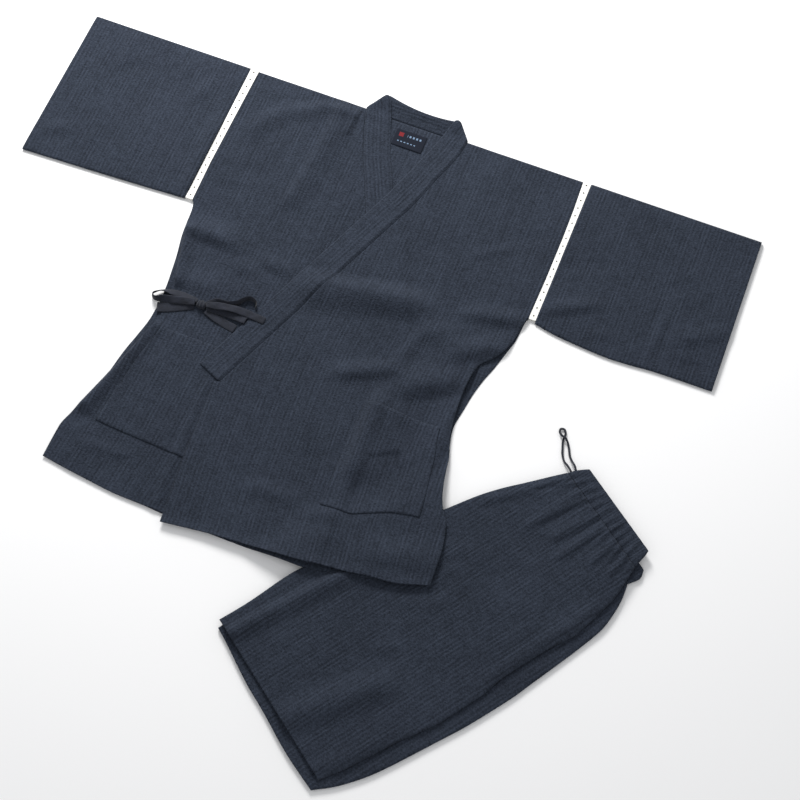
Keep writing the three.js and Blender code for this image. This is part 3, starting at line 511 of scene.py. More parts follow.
# The back panel's side strips that show beside the right front
SIDE_FOLDS = [
    Fold(-262, -440, -289, -322, 22, 4, 0, 0.35),
    Fold(-312, -690, -262, -502, 22, 4.5, 3, 0.35),
]
TROUSER_CREASES = [
    Fold(62, 228, 134, 204, 14, -2.4, -4),
    Fold(56, 288, 164, 284, 12, -1.8),
    Fold(114, 292, 119, 236, 8, -1.6),
    Fold(26, 176, 36, 208, 16, 2.2),
    Fold(42, 600, 38, 500, 4, -2.4),
    Fold(61, 600, 73, 500, 5, -2.4, 3),
    Fold(80, 600, 84, 566, 5, -2.2),
    Fold(100, 600, 112, 556, 5, -2.8, 2),
    Fold(-14, 600, -50, 532, 6, -2.6, 3),
    Fold(6, 600, 0, 500, 7, -2.6),
    Fold(18, 600, 14, 548, 4, -1.8),
    Fold(-30, 600, -56, 520, 5, -2, 2),
    Fold(152, 604, 160, 540, 12, 2),
    Fold(118, 500, 124, 420, 16, -1.8),
    Fold(-6, 350, 0, 300, 14, -1.8),
    Fold(-40, 240, 20, 300, 24, 1.4, 6),
    Fold(-70, 330, 10, 410, 24, 1.4, -8),
    Fold(-40, 440, 60, 452, 24, 1.6, 6),
]


# Heights of the layers

UPPER_LEG = columns(
    "y inner outer",
    (0, -145, 145), (43, -144, 153), (129, -148, 161), (204, -139, 171), (270, -129, 171), (325, -118, 165),
    (393, -106, 166), (446, -97, 171), (480, -88, 166), (526, -72, 157), (562, -60, 143),
    (LEG_LENGTH, -52, 133),
)
UNDER_LEG = columns(
    "y inner outer",
    (-16, -136, 151), (22, -137, 168), (79, -139, 182), (167, -137, 191), (243, -126, 197), (307, -116, 198),
    (354, -107, 195.5), (400, -99, 193), (443, -90, 190), (484, -79, 185.5), (508, -71, 178), (540, -61, 163),
    (UNDER_LENGTH, -56, 149),
)

# Where the under front ends below the upper one: its collar's inner edge, then its own edge
HIDDEN_EDGE = columns("y x", (0, -60), (-75, -25), (-140, 0), (-574, 180), (-600, 136), (-820, 129))


def inside_trousers(x, y):
    """How far a point of the jacket's frame lies inside the trousers' upper-left edge"""
    dx = x - TROUSERS[0]
    dy = y - TROUSERS[1]
    c = math.cos(TROUSERS_TURN)
    s = math.sin(TROUSERS_TURN)
    return dx * c + dy * s - np.interp(-dx * s + dy * c, UPPER_LEG["y"], UPPER_LEG["inner"])


def trouser_lift(x, y, layer=0):
    """How far the trousers lift the jacket's corner, a little more for each looser layer"""
    inside = inside_trousers(x, y)
    lift = (TROUSER_STACK + 0.9) * smooth((inside + LIFT_START) / (LIFT_START - LIFT_END))
    return lift + layer * LOOSE * smooth((inside + LOOSE_START) / (LOOSE_START - LIFT_START))


def under_lap(x, y):
    """1 where the upper front lies on the under one, falling to 0 just past the under one's edge"""
    edge = np.interp(y, HIDDEN_EDGE["y"], HIDDEN_EDGE["x"])
    crisp = smooth((CRISP_START - y) / CRISP_RUN)
    reach = LAP_REACH - CRISP_REACH * crisp
    return smooth((edge - x + reach) / (LAP_SLOPE - CRISP_SLOPE * crisp))


def neck_top(y):
    return BAND_WALL + NECK_RISE * smooth((y + SHOULDER_FOLD) / NECK_STRETCH)


def under_bottom(x, y):
    shown = smooth((-30 - x) / 60)
    relief = (fold_height(RIGHT_CREASES, x, y) + rumple(x, y, 11)) * shown
    return UNDER_LAYER + trouser_lift(x, y, 1) + np.maximum(fold_height(RIGHT_FOLDS, x, y) + relief, 0)


def upper_bottom(x, y):
    relief = fold_height(LEFT_FOLDS, x, y) + fold_height(LEFT_CREASES, x, y) + rumple(x, y, 21)
    return UNDER_LAYER + LAP_RISE * under_lap(x, y) + trouser_lift(x, y, 2) + np.maximum(relief, 0)


# Outlines of the jacket, one column for each line down a panel

COLLAR_LEFT = columns(
    "y x cross",
    (0, 88, 130), (-14, 86.5, 143), (-30, 84, 151), (-60, 75, 155), (-88, 65, 156), (-115, 57, 157),
    (-165, 40, 157), (BAND_END, -130, 157),
)
COLLAR_RIGHT = columns(
    "y x cross",
    (0, -100, 52), (-16, -96.5, 36), (-38, -90, 26), (-90, -71, 23), (-127, -53, 23), (-186, -27, 23),
    (BAND_END, 133, 23),
)
BACK = columns(
    "y right left",
    (-4.3, -302.5, 299), (-60, -304.5, 301.5), (-115, -306, 302), (-200, -308.5, 301.3), (-275, -308, 298.9),
    (-284, -303, 296), (-320, -300, 293), (-341, -298, 287.5), (-384, -290, 275.5), (-406, -287, 268),
    (-440, -283, 260), (-467, -281.5, 256), (-500, -283, 251.5), (-540, -291, 258.5), (-571, -298.5, 265),
    (-640, -310, 274.5), (-680, -321, 288), (-704, -328, 299.5), (-750, -337, 308), (-HEM_ROW, -339, 309),
)
FRONT_RIGHT = columns(
    "y side pocket_far pocket_near",
    (0, -302.7, -262, -180), (-38, -304, -262, -170), (-90, -305.5, -262, -155), (-127, -306.6, -262, -145),
    (-186, -308.2, -262, -135), (-275, -308, -262, -125), (-284, -303, -262, -124), (-340, -295, -262, -118),
    (-400, -281, -258, -112), (-440, -269, -254, -108), (-500, -269, -256, -108), (-545, -281, -264, -108),
    (-572, -291, -270, -108), (-640, -312, -281, -108), (-704, -331, -290, -108), (-740, -340, -294, -108),
    (-HEM_ROW, -342, -300, -108),
)
FRONT_LEFT = columns(
    "y pocket_far side",
    (0, 254, 299), (-30, 254, 300.5), (-60, 254, 301.6), (-88, 254, 302), (-165, 254, 302), (-275, 246, 299),
    (-284, 245, 296), (-325, 240, 289), (-345, 237, 283), (-364, 231, 271), (-388, 227, 251),
    (-440, 224, 245), (-500, 230, 249), (-567, 242, 265), (-572, 243, 265.5),
    (-640, 250, 275.5), (-670, 254, 284), (-702, 257, 300.5),
    (-750, 259, 310), (-HEM_ROW, 260, 312),
)
FRONT_LEFT_NEAR = 103
LAP_LEFT = columns(
    "y lap",
    (-568, -138.5), (-572, -138), (-640, -134), (-670, -133), (-702, -132), (-750, -127), (-HEM_ROW, -121),
)
LAP_RIGHT = columns("y lap", (-568, 133), (-572, 133), (-640, 131), (-704, 129), (-740, 128), (-HEM_ROW, 127))

# How the level rows bend on the way down: at the pocket's lower edge and at the hem
FRONT_LEFT_BEND = columns(
    "x pocket hem",
    (-121, 0, -18), (-40, 0, -8), (0, 0, -5), (103, 0, 0), (150, 1, 7), (180, 12, 10), (215, 26, 16),
    (256, 34, 20), (312, 38, 37),
)
FRONT_RIGHT_BEND = columns(
    "x pocket hem",
    (-340, 4, 15), (-290, 2, 8), (-263, 0, 5), (-199, -3, -1), (-108, -6, -2), (127, 0, 3),
)
BACK_BEND = columns(
    "x pocket hem",
    (-336, 4, 18), (-199, -2, 2), (-40, 0, -6), (103, 0, -6), (200, 16, 12), (309, 36, 38),
)


def bent(table, x, y):
    level = np.abs(y)
    to_pocket = smooth((level + POCKET_TOP) / (POCKET_TOP - POCKET_BOTTOM))
    to_hem = np.clip((level + POCKET_BOTTOM) / (HEM_ROW + POCKET_BOTTOM), 0, 1)
    at_pocket = to_pocket * glide(table, "pocket", x, "x")
    return y + at_pocket * (1 - to_hem) + glide(table, "hem", x, "x") * to_hem


def lap_line(y, band, below, side):
    """The lapped edge of a front: the band's sewn edge, then the front's own edge below the band"""
    sewn = np.interp(y, band["y"], band["x"]) + side * SEAM
    return np.where(y > BAND_END - 0.2, sewn, glide(below, "lap", y))


def panel_grid(lines, steps, rows, bend):
    """Crosses the rows with the panel's lines, each stretch between two lines divided evenly"""
    x = [lines[0][:, None]]
    for a, b, count in zip(lines, lines[1:], steps):
        share = np.arange(1, count + 1) / count
        x.append(a[:, None] + (b - a)[:, None] * share)
    x = np.concatenate(x, 1)
    return x, bent(bend, x, rows[:, None])


FRONT_ROWS = divide(
    [0, -SHOULDER_FOLD, -30, POCKET_TOP, -567.6, -572, POCKET_BOTTOM, -HEM_ROW + 4, -HEM_ROW],
    [0.5, FINE_CELL, CELL, CELL, CELL, CELL, CELL, 1.5],
)
BACK_ROWS = divide(
    [-SHOULDER_FOLD - GAP, -150, -270, -290, -HEM_ROW + 40, -HEM_ROW],
    [CELL, CELL, CELL, HIDDEN_CELL, CELL],
)


# How far the ribs have run sideways on the way down each front
RIB_RUN = {
    "front_left": columns("y run", (0, 7), (-300, 7), (-480, 0), (-680, 10), (-820, 24)),
    "front_right": columns("y run", (0, 0), (-230, 0), (-340, -3), (-450, -9), (-680, -18), (-820, -33)),
}


def along_ribs(name, x, y):
    return stack(x - glide(RIB_RUN[name], "run", y), y, 0)


def shoulder(y):
    """Share of its full height that the front has as it turns down over the shoulder"""
    t = np.clip((y + SHOULDER_FOLD) / SHOULDER_FOLD, 0, 1)
    return np.sqrt(1 - 0.98 * t * t)


def front(name, x, y, bottom):
    level = bottom(x, y)
    top_z = (level + WALL) * shoulder(y)
    bottom_z = np.where(y > -SHOULDER_FOLD, np.maximum(top_z - WALL, 0), level)
    top = stack(x, y, top_z)
    piece = shell(name, top, stack(x, y, bottom_z), along_ribs(name, x, y), CLOTH)


def patch(name, x, y, bottom, carrier):
    """A pocket on the front's own grid, its top hem a little thicker, moved out by the wall and a gap"""
    rows, across = x.shape
    v = np.linspace(0, 1, rows)[:, None]
    u = np.linspace(0, 1, across)[None, :]
    pillow = 0.9 * np.sin(np.pi * u) ** 0.5 * np.sin(np.pi * np.clip(v * 1.1 - 0.02, 0, 1)) ** 0.5
    hem = 0.5 * (1 - smooth((v - 0.085) / 0.02))
    z = bottom(x, y) + WALL + GAP
    top = stack(x, y, z + WALL + pillow + hem)
    piece = shell(name, top, stack(x, y, z), along_ribs(carrier, x + 2.5, y + 37), CLOTH)


def body_panels():
    for name, side in (("back_right", "right"), ("back_left", "left")):
        middle = np.full(BACK_ROWS.shape, -GAP / 2 if side == "right" else GAP / 2)
        edge = glide(BACK, side, BACK_ROWS)
        x, y = panel_grid([middle, edge], [60], BACK_ROWS, BACK_BEND)
        z = trouser_lift(x, y)
        thin = 0.35 * (hills(x, y, 21, 40, 31) + 1) * smooth((150 + y) / 30) / 2
        top = stack(x, y, z + WALL - 0.3 + thin + fold_height(SIDE_FOLDS, x, y))
        piece = shell(name, top, stack(x, y, z), stack(x, y, 0), CLOTH)
    rows = FRONT_ROWS
    first = int(np.argmin(np.abs(rows - POCKET_TOP)))
    last = int(np.argmin(np.abs(rows - POCKET_BOTTOM)))

    lines = [glide(FRONT_RIGHT, column, rows) for column in ("side", "pocket_far", "pocket_near")]
    lines.append(lap_line(rows, COLLAR_RIGHT, LAP_RIGHT, -1))
    steps = [12, 42, 44]
    x, y = panel_grid(lines, steps, rows, FRONT_RIGHT_BEND)
    front("front_right", x, y, under_bottom)
    window = (slice(first, last + 1), slice(steps[0], steps[0] + steps[1] + 1))
    patch("pocket_right", x[window], y[window], under_bottom, "front_right")

    near = np.full(rows.shape, float(FRONT_LEFT_NEAR))
    lines = [lap_line(rows, COLLAR_LEFT, LAP_LEFT, 1), near]
    lines += [glide(FRONT_LEFT, column, rows) for column in ("pocket_far", "side")]
    steps = [62, 40, 14]
    x, y = panel_grid(lines, steps, rows, FRONT_LEFT_BEND)
    front("front_left", x, y, upper_bottom)
    window = (slice(first, last + 1), slice(steps[0], steps[0] + steps[1] + 1))
    patch("pocket_left", x[window], y[window], upper_bottom, "front_left")


# Collar

def band_level(x, y, layer):
    """Underside of a collar stretch, which climbs over the back stretch at the neck"""
    over_neck = smooth((y + 26) / 18)
    return layer * (1 - over_neck) + (neck_top(y) + 5 * GAP) * over_neck


def band_profile(share):
    """How full the folded band is at a share of its width: round edges, and a sewn ridge near the first"""
    full = np.clip(1 - np.abs(2 * share - 1) ** 9, 0, 1) ** 0.5
    seam = 0.42 * np.exp(-(((share - 0.13) / 0.1) ** 2))
    return 0.2 + 0.72 * full + seam * full


def collar_band(name, table, layer, peak, seed):
    length = np.hypot(np.diff(table["x"]), np.diff(table["y"])).sum()
    rows = np.linspace(0, BAND_END, int(length / 3))
    sewn_x = np.interp(rows, table["y"], table["x"])
    turn = np.radians(glide(table, "cross", rows))
    share = np.linspace(0, 1, 21)[None, :]
    x = sewn_x[:, None] + BAND_WIDTH * share * np.cos(turn)[:, None]
    y = rows[:, None] + BAND_WIDTH * share * np.sin(turn)[:, None]
    y = np.where(y > peak - PEAK_ROUND, peak - PEAK_ROUND * np.exp((peak - PEAK_ROUND - y) / PEAK_ROUND), y)
    z = band_level(x, y, layer(x, y))
    along = np.concatenate([[0], np.cumsum(np.hypot(np.diff(sewn_x), np.diff(rows)))])[:, None]
    pucker = 0.22 * hills(along, share * BAND_WIDTH, 9, 30, seed) * np.exp(-(((share - 0.1) / 0.16) ** 2))
    wave = 0.3 * hills(along, share * BAND_WIDTH, 38, 24, seed + 1)
    away_from_edges = 1 - np.abs(2 * share - 1) ** 6
    top = stack(x, y, z + BAND_WALL * band_profile(share) + (pucker + wave) * away_from_edges)
    weave = stack(share * BAND_WIDTH + 500, along + 0 * share, 0)
    piece = shell(name, top, stack(x, y, z), weave, CLOTH)


def collar():
    collar_band("collar_right", COLLAR_RIGHT, lambda x, y: UNDER_LAYER + 0 * x, PEAK_RIGHT, 41)
    collar_band("collar_left", COLLAR_LEFT, upper_bottom, PEAK_LEFT, 43)
    stretch = columns(
        "y right left",
        (-SHOULDER_FOLD + GAP, -96, 84), (6, -93, 81), (16, -86, 74), (25, -79, 66.5), (30, -73.5, 61),
        (NECK_TOP_ROW, -66, 54),
    )
    rows = np.linspace(NECK_TOP_ROW, -SHOULDER_FOLD + GAP, 20)
    right = glide(stretch, "right", rows)[:, None]
    left = glide(stretch, "left", rows)[:, None]
    across = np.linspace(0, 1, 61)[None, :]
    x = right + (left - right) * across
    edge = NECK_EDGE - NECK_SLANT * x - NECK_DIP * (1 - (x / NECK_HALF) ** 2)
    y = rows[:, None] + (edge - NECK_TOP_ROW) * smooth(rows / NECK_TOP_ROW)[:, None]
    share = np.linspace(0, 1, len(rows))[:, None]
    full = np.clip(1 - np.abs(2 * share - 1) ** 9, 0, 1) ** 0.5
    crumple = 0.5 * hills(x, y, 17, 12, 45) * np.sin(np.pi * share)
    bottom = neck_top(y) - BAND_WALL
    top = stack(x, y, bottom + BAND_WALL * (0.3 + 0.7 * full) + crumple)
    piece = shell("collar_back", top, stack(x, y, bottom), stack(y + 560, x, 0), CLOTH)


# Sleeves

SLEEVES = {
    "sleeve_left": (
        columns(
            "x foot lower",
            (314.5, 312, -281.5), (350, 348, -288.5), (400, 399, -293.5), (445, 444.5, -296),
            (480, 480, -294.5), (520, 520.5, -291.5), (560, 561.5, -290.5), (617, 620, -290),
        ),
        [
            Fold(322, -254, 398, -214, 24, 5, 0, 0.7),
            Fold(508, -188, 506, -264, 15, 3.4),
            Fold(540, -225, 622, -178, 28, 4, 0, 0.7),
        ],
        [
            Fold(318, -168, 388, -138, 14, -2.4),
            Fold(484, -152, 532, -126, 16, -2.6),
            Fold(530, -272, 594, -258, 12, -2.4),
            Fold(493, -262, 492, -294, 7, -2.6),
            Fold(402, -264, 440, -258, 18, 2.4),
            Fold(424, -34, 462, -40, 16, -1.8),
            Fold(386, -8, 384, -66, 6, -1.1),
            Fold(448, -60, 456, -110, 12, 1.4),
            Fold(350, -184, 356, -202, 9, -1.6),
            Fold(570, -30, 590, -70, 18, -1.3),
        ],
    ),
    "sleeve_right": (
        columns(
            "x foot lower",
            (-319, -322, -278.5), (-400, -403.5, -283), (-480, -484, -287), (-560, -564.5, -290.5),
            (-617, -622, -293),
        ),
        [
            Fold(-612, -250, -556, -226, 22, 3),
            Fold(-330, -120, -328, -262, 20, 3.6),
            Fold(-536, -8, -532, -86, 17, 2.8),
        ],
        [
            Fold(-372, -56, -386, -98, 20, 2.2),
            Fold(-420, -30, -424, -66, 16, 2),
            Fold(-526, -80, -486, -66, 14, -1.8),
            Fold(-478, -100, -474, -210, 7, -1.4),
            Fold(-494, -140, -498, -206, 7, -1.3),
            Fold(-434, -150, -438, -236, 7, 1.4),
            Fold(-416, -150, -420, -246, 7, -1.4),
            Fold(-512, -212, -518, -240, 12, 1.8),
            Fold(-566, -40, -560, -150, 18, 1.3),
            Fold(-346, -236, -340, -262, 10, -2),
        ],
    ),
}
CUFF_HEM = 20
SLEEVE_CELLS = 72


def across_tube(from_, to, cell):
    """Positions across a flattened tube, close together at its round edges"""
    side = np.sign(to - from_)
    edge = EDGE_ROUND * (1 - np.cos(np.linspace(0, np.pi / 2, 7)))
    middle = divide([from_ + side * EDGE_ROUND, to - side * EDGE_ROUND], [cell])[1:-1]
    return np.concatenate([from_ + side * edge, middle, to - side * edge[::-1]])


def flat_ring(across, level, height, relief, inset):
    """A flattened tube's section: over the top and back below, as positions across and heights"""
    reach = np.minimum(np.abs(across - across[0]), np.abs(across - across[-1]))
    edge = 1 - np.clip(reach / EDGE_ROUND, 0, 1)
    inward = np.sign(across[-1] - across[0]) * np.where(np.abs(across - across[0]) < EDGE_ROUND, 1, -1)
    a = across + inward * inset * edge
    half = (height / 2 - inset) * np.sqrt(1 - edge * edge)
    over = level + height / 2 + half + relief * smooth(reach / 20)
    under = level + height / 2 - half
    return np.concatenate([a, a[-2:0:-1]]), np.concatenate([over, under[-2:0:-1]])


def sleeve(name):
    sections, folds, creases = SLEEVES[name]
    outer_x = sections["x"][np.argmax(np.abs(sections["x"]))]
    inner_x = sections["x"][np.argmin(np.abs(sections["x"]))]
    side = np.sign(outer_x)
    stations = divide([inner_x, outer_x - side * 6, outer_x], [CELL, 1.5])
    seed = 51 if side > 0 else 61
    rings = {0: [], WALL: []}
    weave = []
    for x in stations:
        lower = glide(sections, "lower", x, "x")
        foot = glide(sections, "foot", x, "x")
        across = across_tube(0, float(lower), (abs(float(lower)) - 2 * EDGE_ROUND) / SLEEVE_CELLS)
        to_cuff = abs(outer_x - x)
        relief = fold_height(folds, x, across) + fold_height(creases, x, across) + rumple(x, across, seed)
        relief = np.maximum(relief, 0) * (0.35 + 0.65 * smooth(to_cuff / 30))
        relief = relief + 0.5 * (1 - smooth((to_cuff - CUFF_HEM + 1) / 2))
        for inset, made in rings.items():
            y, z = flat_ring(across, 0, SLEEVE_HEIGHT, relief, inset)
            made.append(stack(x + (foot - x) * y / lower, y, z))
        over = np.arange(len(y)) < len(across)
        weave.append(stack(x, np.where(over, y, -y + 40), 0))
    outer, inner, weave = (np.array(r) for r in (rings[0], rings[WALL], weave))
    piece = hose(name, outer, inner, weave, CLOTH)


# Lace let in between sleeve and body: one strip up the back, over the shoulder and down the front

LACE_FOOT = -277
LACE_LEVEL = 4.6
LACE_WALL = 1
LACE_PITCH = 15.4
LACE_HOLE = 1.5
LACE_WIDTH = 13
LACES = {
    "lace_left": columns(
        "y body sleeve",
        (0, 299.6, 313.9), (-60, 302, 313.5), (-115, 302.6, 313.1), (-200, 301.8, 312.5),
        (LACE_FOOT, 299.3, 311.6),
    ),
    "lace_right": columns(
        "y body sleeve",
        (0, -303.2, -318.6), (-60, -305, -319.2), (-115, -306.6, -319.8), (-200, -309, -320.7),
        (LACE_FOOT, -308.4, -321.4),
    ),
}


def lace_place(table, along, across, height):
    """A point of the strip: along it from the back's foot over the shoulder to the front's foot"""
    reach = -LACE_FOOT
    turn = math.pi * LACE_LEVEL / 2
    start = reach - LACE_LEVEL / 2
    t = np.clip((along - start) / turn, 0, 1) * math.pi
    y = np.where(along < start, LACE_FOOT + along, -LACE_LEVEL / 2 + LACE_LEVEL / 2 * np.sin(t))
    y = np.where(along > start + turn, -LACE_LEVEL / 2 - (along - start - turn), y)
    centre = LACE_LEVEL / 2 - (LACE_LEVEL / 2 - LACE_WALL / 2) * np.cos(t)
    z = centre - height * np.cos(t)
    y = y + np.where((t > 0) & (t < math.pi), height * np.sin(t), 0)
    body = np.interp(y, table["y"], table["body"])
    sleeve_edge = np.interp(y, table["y"], table["sleeve"])
    return stack(body + (sleeve_edge - body) * across, y, z)


def lace(name):
    """Cells with a worked hole in the middle of each, joined side by side"""
    table = LACES[name]
    start = -LACE_FOOT - LACE_LEVEL / 2
    strip = 2 * start + math.pi * LACE_LEVEL / 2
    count = round(strip / LACE_PITCH)
    pitch = strip / count
    around = 48
    turn = np.linspace(0, 2 * np.pi, around, endpoint=False)
    square = 1 / np.maximum(np.abs(np.cos(turn)), np.abs(np.sin(turn)))
    steps = 9
    points = []
    weave = []
    faces = []
    for i in range(count):
        top = []
        bottom = []
        for k in range(steps):
            share = k / (steps - 1)
            far_u = 0.5 + 0.5 * square * np.cos(turn)
            far_v = 0.5 + 0.5 * square * np.sin(turn)
            hole_u = 0.5 + LACE_HOLE / LACE_WIDTH * np.cos(turn)
            hole_v = 0.5 + LACE_HOLE / pitch * np.sin(turn)
            u = hole_u + (far_u - hole_u) * share
            v = hole_v + (far_v - hole_v) * share
            ring = 0.55 * math.exp(-(((share - 0.16) / 0.13) ** 2))
            cord = 0.35 * np.exp(-(((np.abs(2 * u - 1) - 0.9) / 0.07) ** 2))
            ladder = 0.16 * np.cos(2 * np.pi * v * 6) * np.exp(-(((np.abs(2 * u - 1) - 0.62) / 0.16) ** 2))
            lift = ring + cord + ladder
            along = (i + v) * pitch
            flat = stack(LACE_WIDTH * u, along, 0)
            top.append(lace_place(table, along, u, LACE_WALL / 2 + lift))
            bottom.append(lace_place(table, along, u, -LACE_WALL / 2 + 0 * u))
            weave.append(flat)
        points += [*top, *bottom]
        weave += weave[-steps:]
        faces.append(ring_faces(steps, around) + 2 * steps * around * i)
    piece = make_piece(
        name, np.concatenate(points), np.concatenate(faces), np.concatenate(weave), LACE
    )


# Label inside the back neck, with a made-up pattern of a block and two rows of dashes

LABEL = {"x": -7.5, "y": -33.5, "width": 55, "height": 33, "wall": 1}


def label_material():
    material, tree, surface = shader("label_woven", 0.85, 0.02, 0.08)
    weave = node(tree, "Attribute", attribute_name="weave")
    split = node(tree, "SeparateXYZ")
    tree.links.new(weave.outputs["Vector"], split.inputs[0])
    u = math_node(tree, "DIVIDE", split.outputs["X"], LABEL["width"] * MM)
    v = math_node(tree, "DIVIDE", split.outputs["Y"], LABEL["height"] * MM)
    dashes = between(tree, math_node(tree, "FRACT", math_node(tree, "MULTIPLY", u, 9), 0), 0.2, 0.72)
    rows = math_node(
        tree, "ADD",
        math_node(tree, "MULTIPLY", between(tree, v, 0.22, 0.34), between(tree, u, 0.4, 0.9)),
        math_node(tree, "MULTIPLY", between(tree, v, 0.66, 0.72), between(tree, u, 0.14, 0.74)),
    )
    block = math_node(tree, "MULTIPLY", between(tree, v, 0.16, 0.4), between(tree, u, 0.12, 0.27))
    ground = blend_colours(
        tree, math_node(tree, "MULTIPLY", rows, dashes), linear(28, 32, 42), linear(112, 134, 158)
    )
    tree.links.new(blend_colours(tree, block, ground, linear(118, 40, 44)), surface.inputs["Base Color"])
    thread = noise(tree, mapped(tree, weave, (2400, 900, 1)), 1.0, 0.5)
    bumps(tree, surface, [(thread, 0.0002, 0.5)])
    return material


def between(tree, value, low, high):
    above = math_node(tree, "GREATER_THAN", value, low)
    return math_node(tree, "MULTIPLY", above, math_node(tree, "LESS_THAN", value, high))


def label():
    rows = np.linspace(0, 1, 18)[:, None]
    across = np.linspace(0, 1, 28)[None, :]
    x = LABEL["x"] + LABEL["width"] * (across - 0.5) + 0 * rows
    y = LABEL["y"] + LABEL["height"] * (0.5 - rows) + 0 * across
    bottom = WALL + GAP + 0 * x
    curl = 0.5 * smooth((rows - 0.75) / 0.25) * np.sin(np.pi * across)
    top = stack(x, y, bottom + 0.6 + curl)
    weave = stack(LABEL["width"] * across, LABEL["height"] * rows, 0)
    piece = shell("label", top, stack(x, y, bottom), weave, label_material(), roll=0.2)


# Ties and their bow, strips of sewn cloth: each row is the strip's middle, its width and how far it leans

TIE_WALL = 1.7
TieRow = namedtuple("TieRow", "x y z width lean")
TIES = {
    "tie_side": [
        TieRow(-280.5, -482, 4.6, 17, 0), TieRow(-262, -475, 5.2, 17, 0), TieRow(-242, -466, 5.8, 15, 6),
        TieRow(-224, -458.5, 6.8, 12, 10),
    ],
    "bow_loop_far": [
        TieRow(-222, -449, 8.6, 10, 25), TieRow(-240, -448, 7.4, 13, 20), TieRow(-262, -448, 6.8, 13, 20),
        TieRow(-280, -450.5, 7.4, 12, 50), TieRow(-291, -456.5, 8.4, 11, 72),
        TieRow(-296.5, -464, 8.4, 11, 76), TieRow(-290, -469.5, 8.4, 11, 70),
        TieRow(-276, -465.5, 9.4, 12, 45), TieRow(-258, -461.5, 10.4, 12, 22),
        TieRow(-240, -457, 10.6, 12, 14), TieRow(-224, -453.5, 12, 10, 8),
    ],
    "bow_loop_near": [
        TieRow(-204.6, -447.6, 10.4, 6, 20), TieRow(-190, -438, 9.5, 10, 35), TieRow(-172, -436, 9, 11, 55),
        TieRow(-158, -428, 9, 11, 70), TieRow(-150, -418, 9, 11, 76), TieRow(-140, -413, 9, 11, 76),
        TieRow(-130, -416.5, 9, 11, 76), TieRow(-126.5, -425, 9.6, 10, 72),
    ],
    "tie_tail_long": [
        TieRow(-203.5, -451, 13, 9, 0), TieRow(-186, -447, 13.4, 12, 6), TieRow(-168, -443.5, 13.4, 12.5, -6),
        TieRow(-148, -441, 12, 12.5, 0), TieRow(-128, -441, 9.4, 12, 0), TieRow(-104, -442, 8.6, 12, 0),
    ],
    "tie_tail_short": [
        TieRow(-201.5, -454.5, 9, 9, 10), TieRow(-184, -452.5, 7.8, 12, 12), TieRow(-166, -452, 7.6, 12, 10),
        TieRow(-148, -452.5, 8.2, 12, 0), TieRow(-133, -453.5, 9.4, 11.5, 0),
    ],
    "tie_front": [
        TieRow(-202, -459.5, 6, 10, -8), TieRow(-186, -464, 5.2, 13, -6), TieRow(-168, -468, 4.8, 14, 0),
        TieRow(-144.5, -472, 4.7, 14, 0),
    ],
}
KNOT = {"x": -212.5, "y": -453, "z": 8.6, "long": 8.6, "wide": 8, "high": 5.2}


def through(points, per_span):
    """A soft curve through a list of points of any size, as rows"""
    points = np.array(points, float)
    ends = np.concatenate([2 * points[:1] - points[1:2], points, 2 * points[-1:] - points[-2:-1]])
    made = []
    for i in range(1, len(ends) - 2):
        a, b, c, d = ends[i - 1:i + 3]
        for t in np.arange(per_span) / per_span:
            square = 2 * a - 5 * b + 4 * c - d
            cube = 3 * b - a - 3 * c + d
            made.append(0.5 * (2 * b + (c - a) * t + square * t**2 + cube * t**3))
    made.append(points[-1])
    return np.array(made)


def tape(name, rows, seed):
    """A strip of sewn tape with soft edges and a sewn groove down each side"""
    path = through(rows, 9)
    along = np.gradient(path[:, :2], axis=0)
    along /= np.linalg.norm(along, axis=1, keepdims=True)
    lean = np.radians(path[:, 4])[:, None]
    flat = np.concatenate([-along[:, 1:], along[:, :1], np.zeros((len(path), 1))], 1)
    up = np.array([[0, 0, 1.0]])
    width = flat * np.cos(lean) + up * np.sin(lean)
    face = up * np.cos(lean) - flat * np.sin(lean)
    share = np.linspace(-0.5, 0.5, 13)
    length = run_length(path[:, :3])
    full = np.clip(1 - np.abs(2 * share) ** 5, 0, 1) ** 0.5 * 0.7 + 0.3
    groove = 0.22 * np.exp(-(((np.abs(share) - 0.36) / 0.05) ** 2))
    crinkle = 0.45 * hills(length[:, None], share[None, :] * 12, 6, 5, seed)
    middle = path[:, None, :3] + share[None, :, None] * path[:, 3][:, None, None] * width[:, None, :]
    half = TIE_WALL / 2 * full - groove
    top = middle + (half + crinkle)[..., None] * face[:, None, :]
    bottom = middle - (half[None, :, None] + 0 * crinkle[..., None]) * face[:, None, :]
    weave = stack(share[None, :] * path[:, 3][:, None], length[:, None], 0)
    piece = shell(name, top, bottom, weave, TAPE, roll=0.3)
    return piece, length[-1]


def knot():
    """The knot: a core of tape with two turns drawn tight round it"""
    turn = np.linspace(0, 2 * np.pi, 49)[:-1]
    across = np.linspace(-1, 1, 33)
    ring, pole = np.meshgrid(turn, across, indexing="ij")
    tight = np.sqrt(np.clip(1 - pole**2, 0, 1)) ** 0.72
    turns = 0.11 * np.cos(3.2 * np.pi * pole + 0.5 * np.sin(ring))
    bands = 1 + turns + 0.03 * hills(ring * 6, pole * 9, 2, 2, 71)
    x = KNOT["x"] + KNOT["long"] * pole * 0.98
    y = KNOT["y"] + KNOT["wide"] * 0.92 * tight * bands * np.cos(ring)
    z = KNOT["z"] + KNOT["high"] * 0.98 * tight * bands * np.sin(ring)
    points = stack(x, y, z).reshape(-1, 3)
    index = np.arange(points.shape[0]).reshape(x.shape)
    wrapped = np.concatenate([index, index[:1]], 0)
    weave = stack(pole * 9, ring * 7, 0).reshape(-1, 3)
    return make_piece("bow_knot", points, cells(wrapped), weave, TAPE)


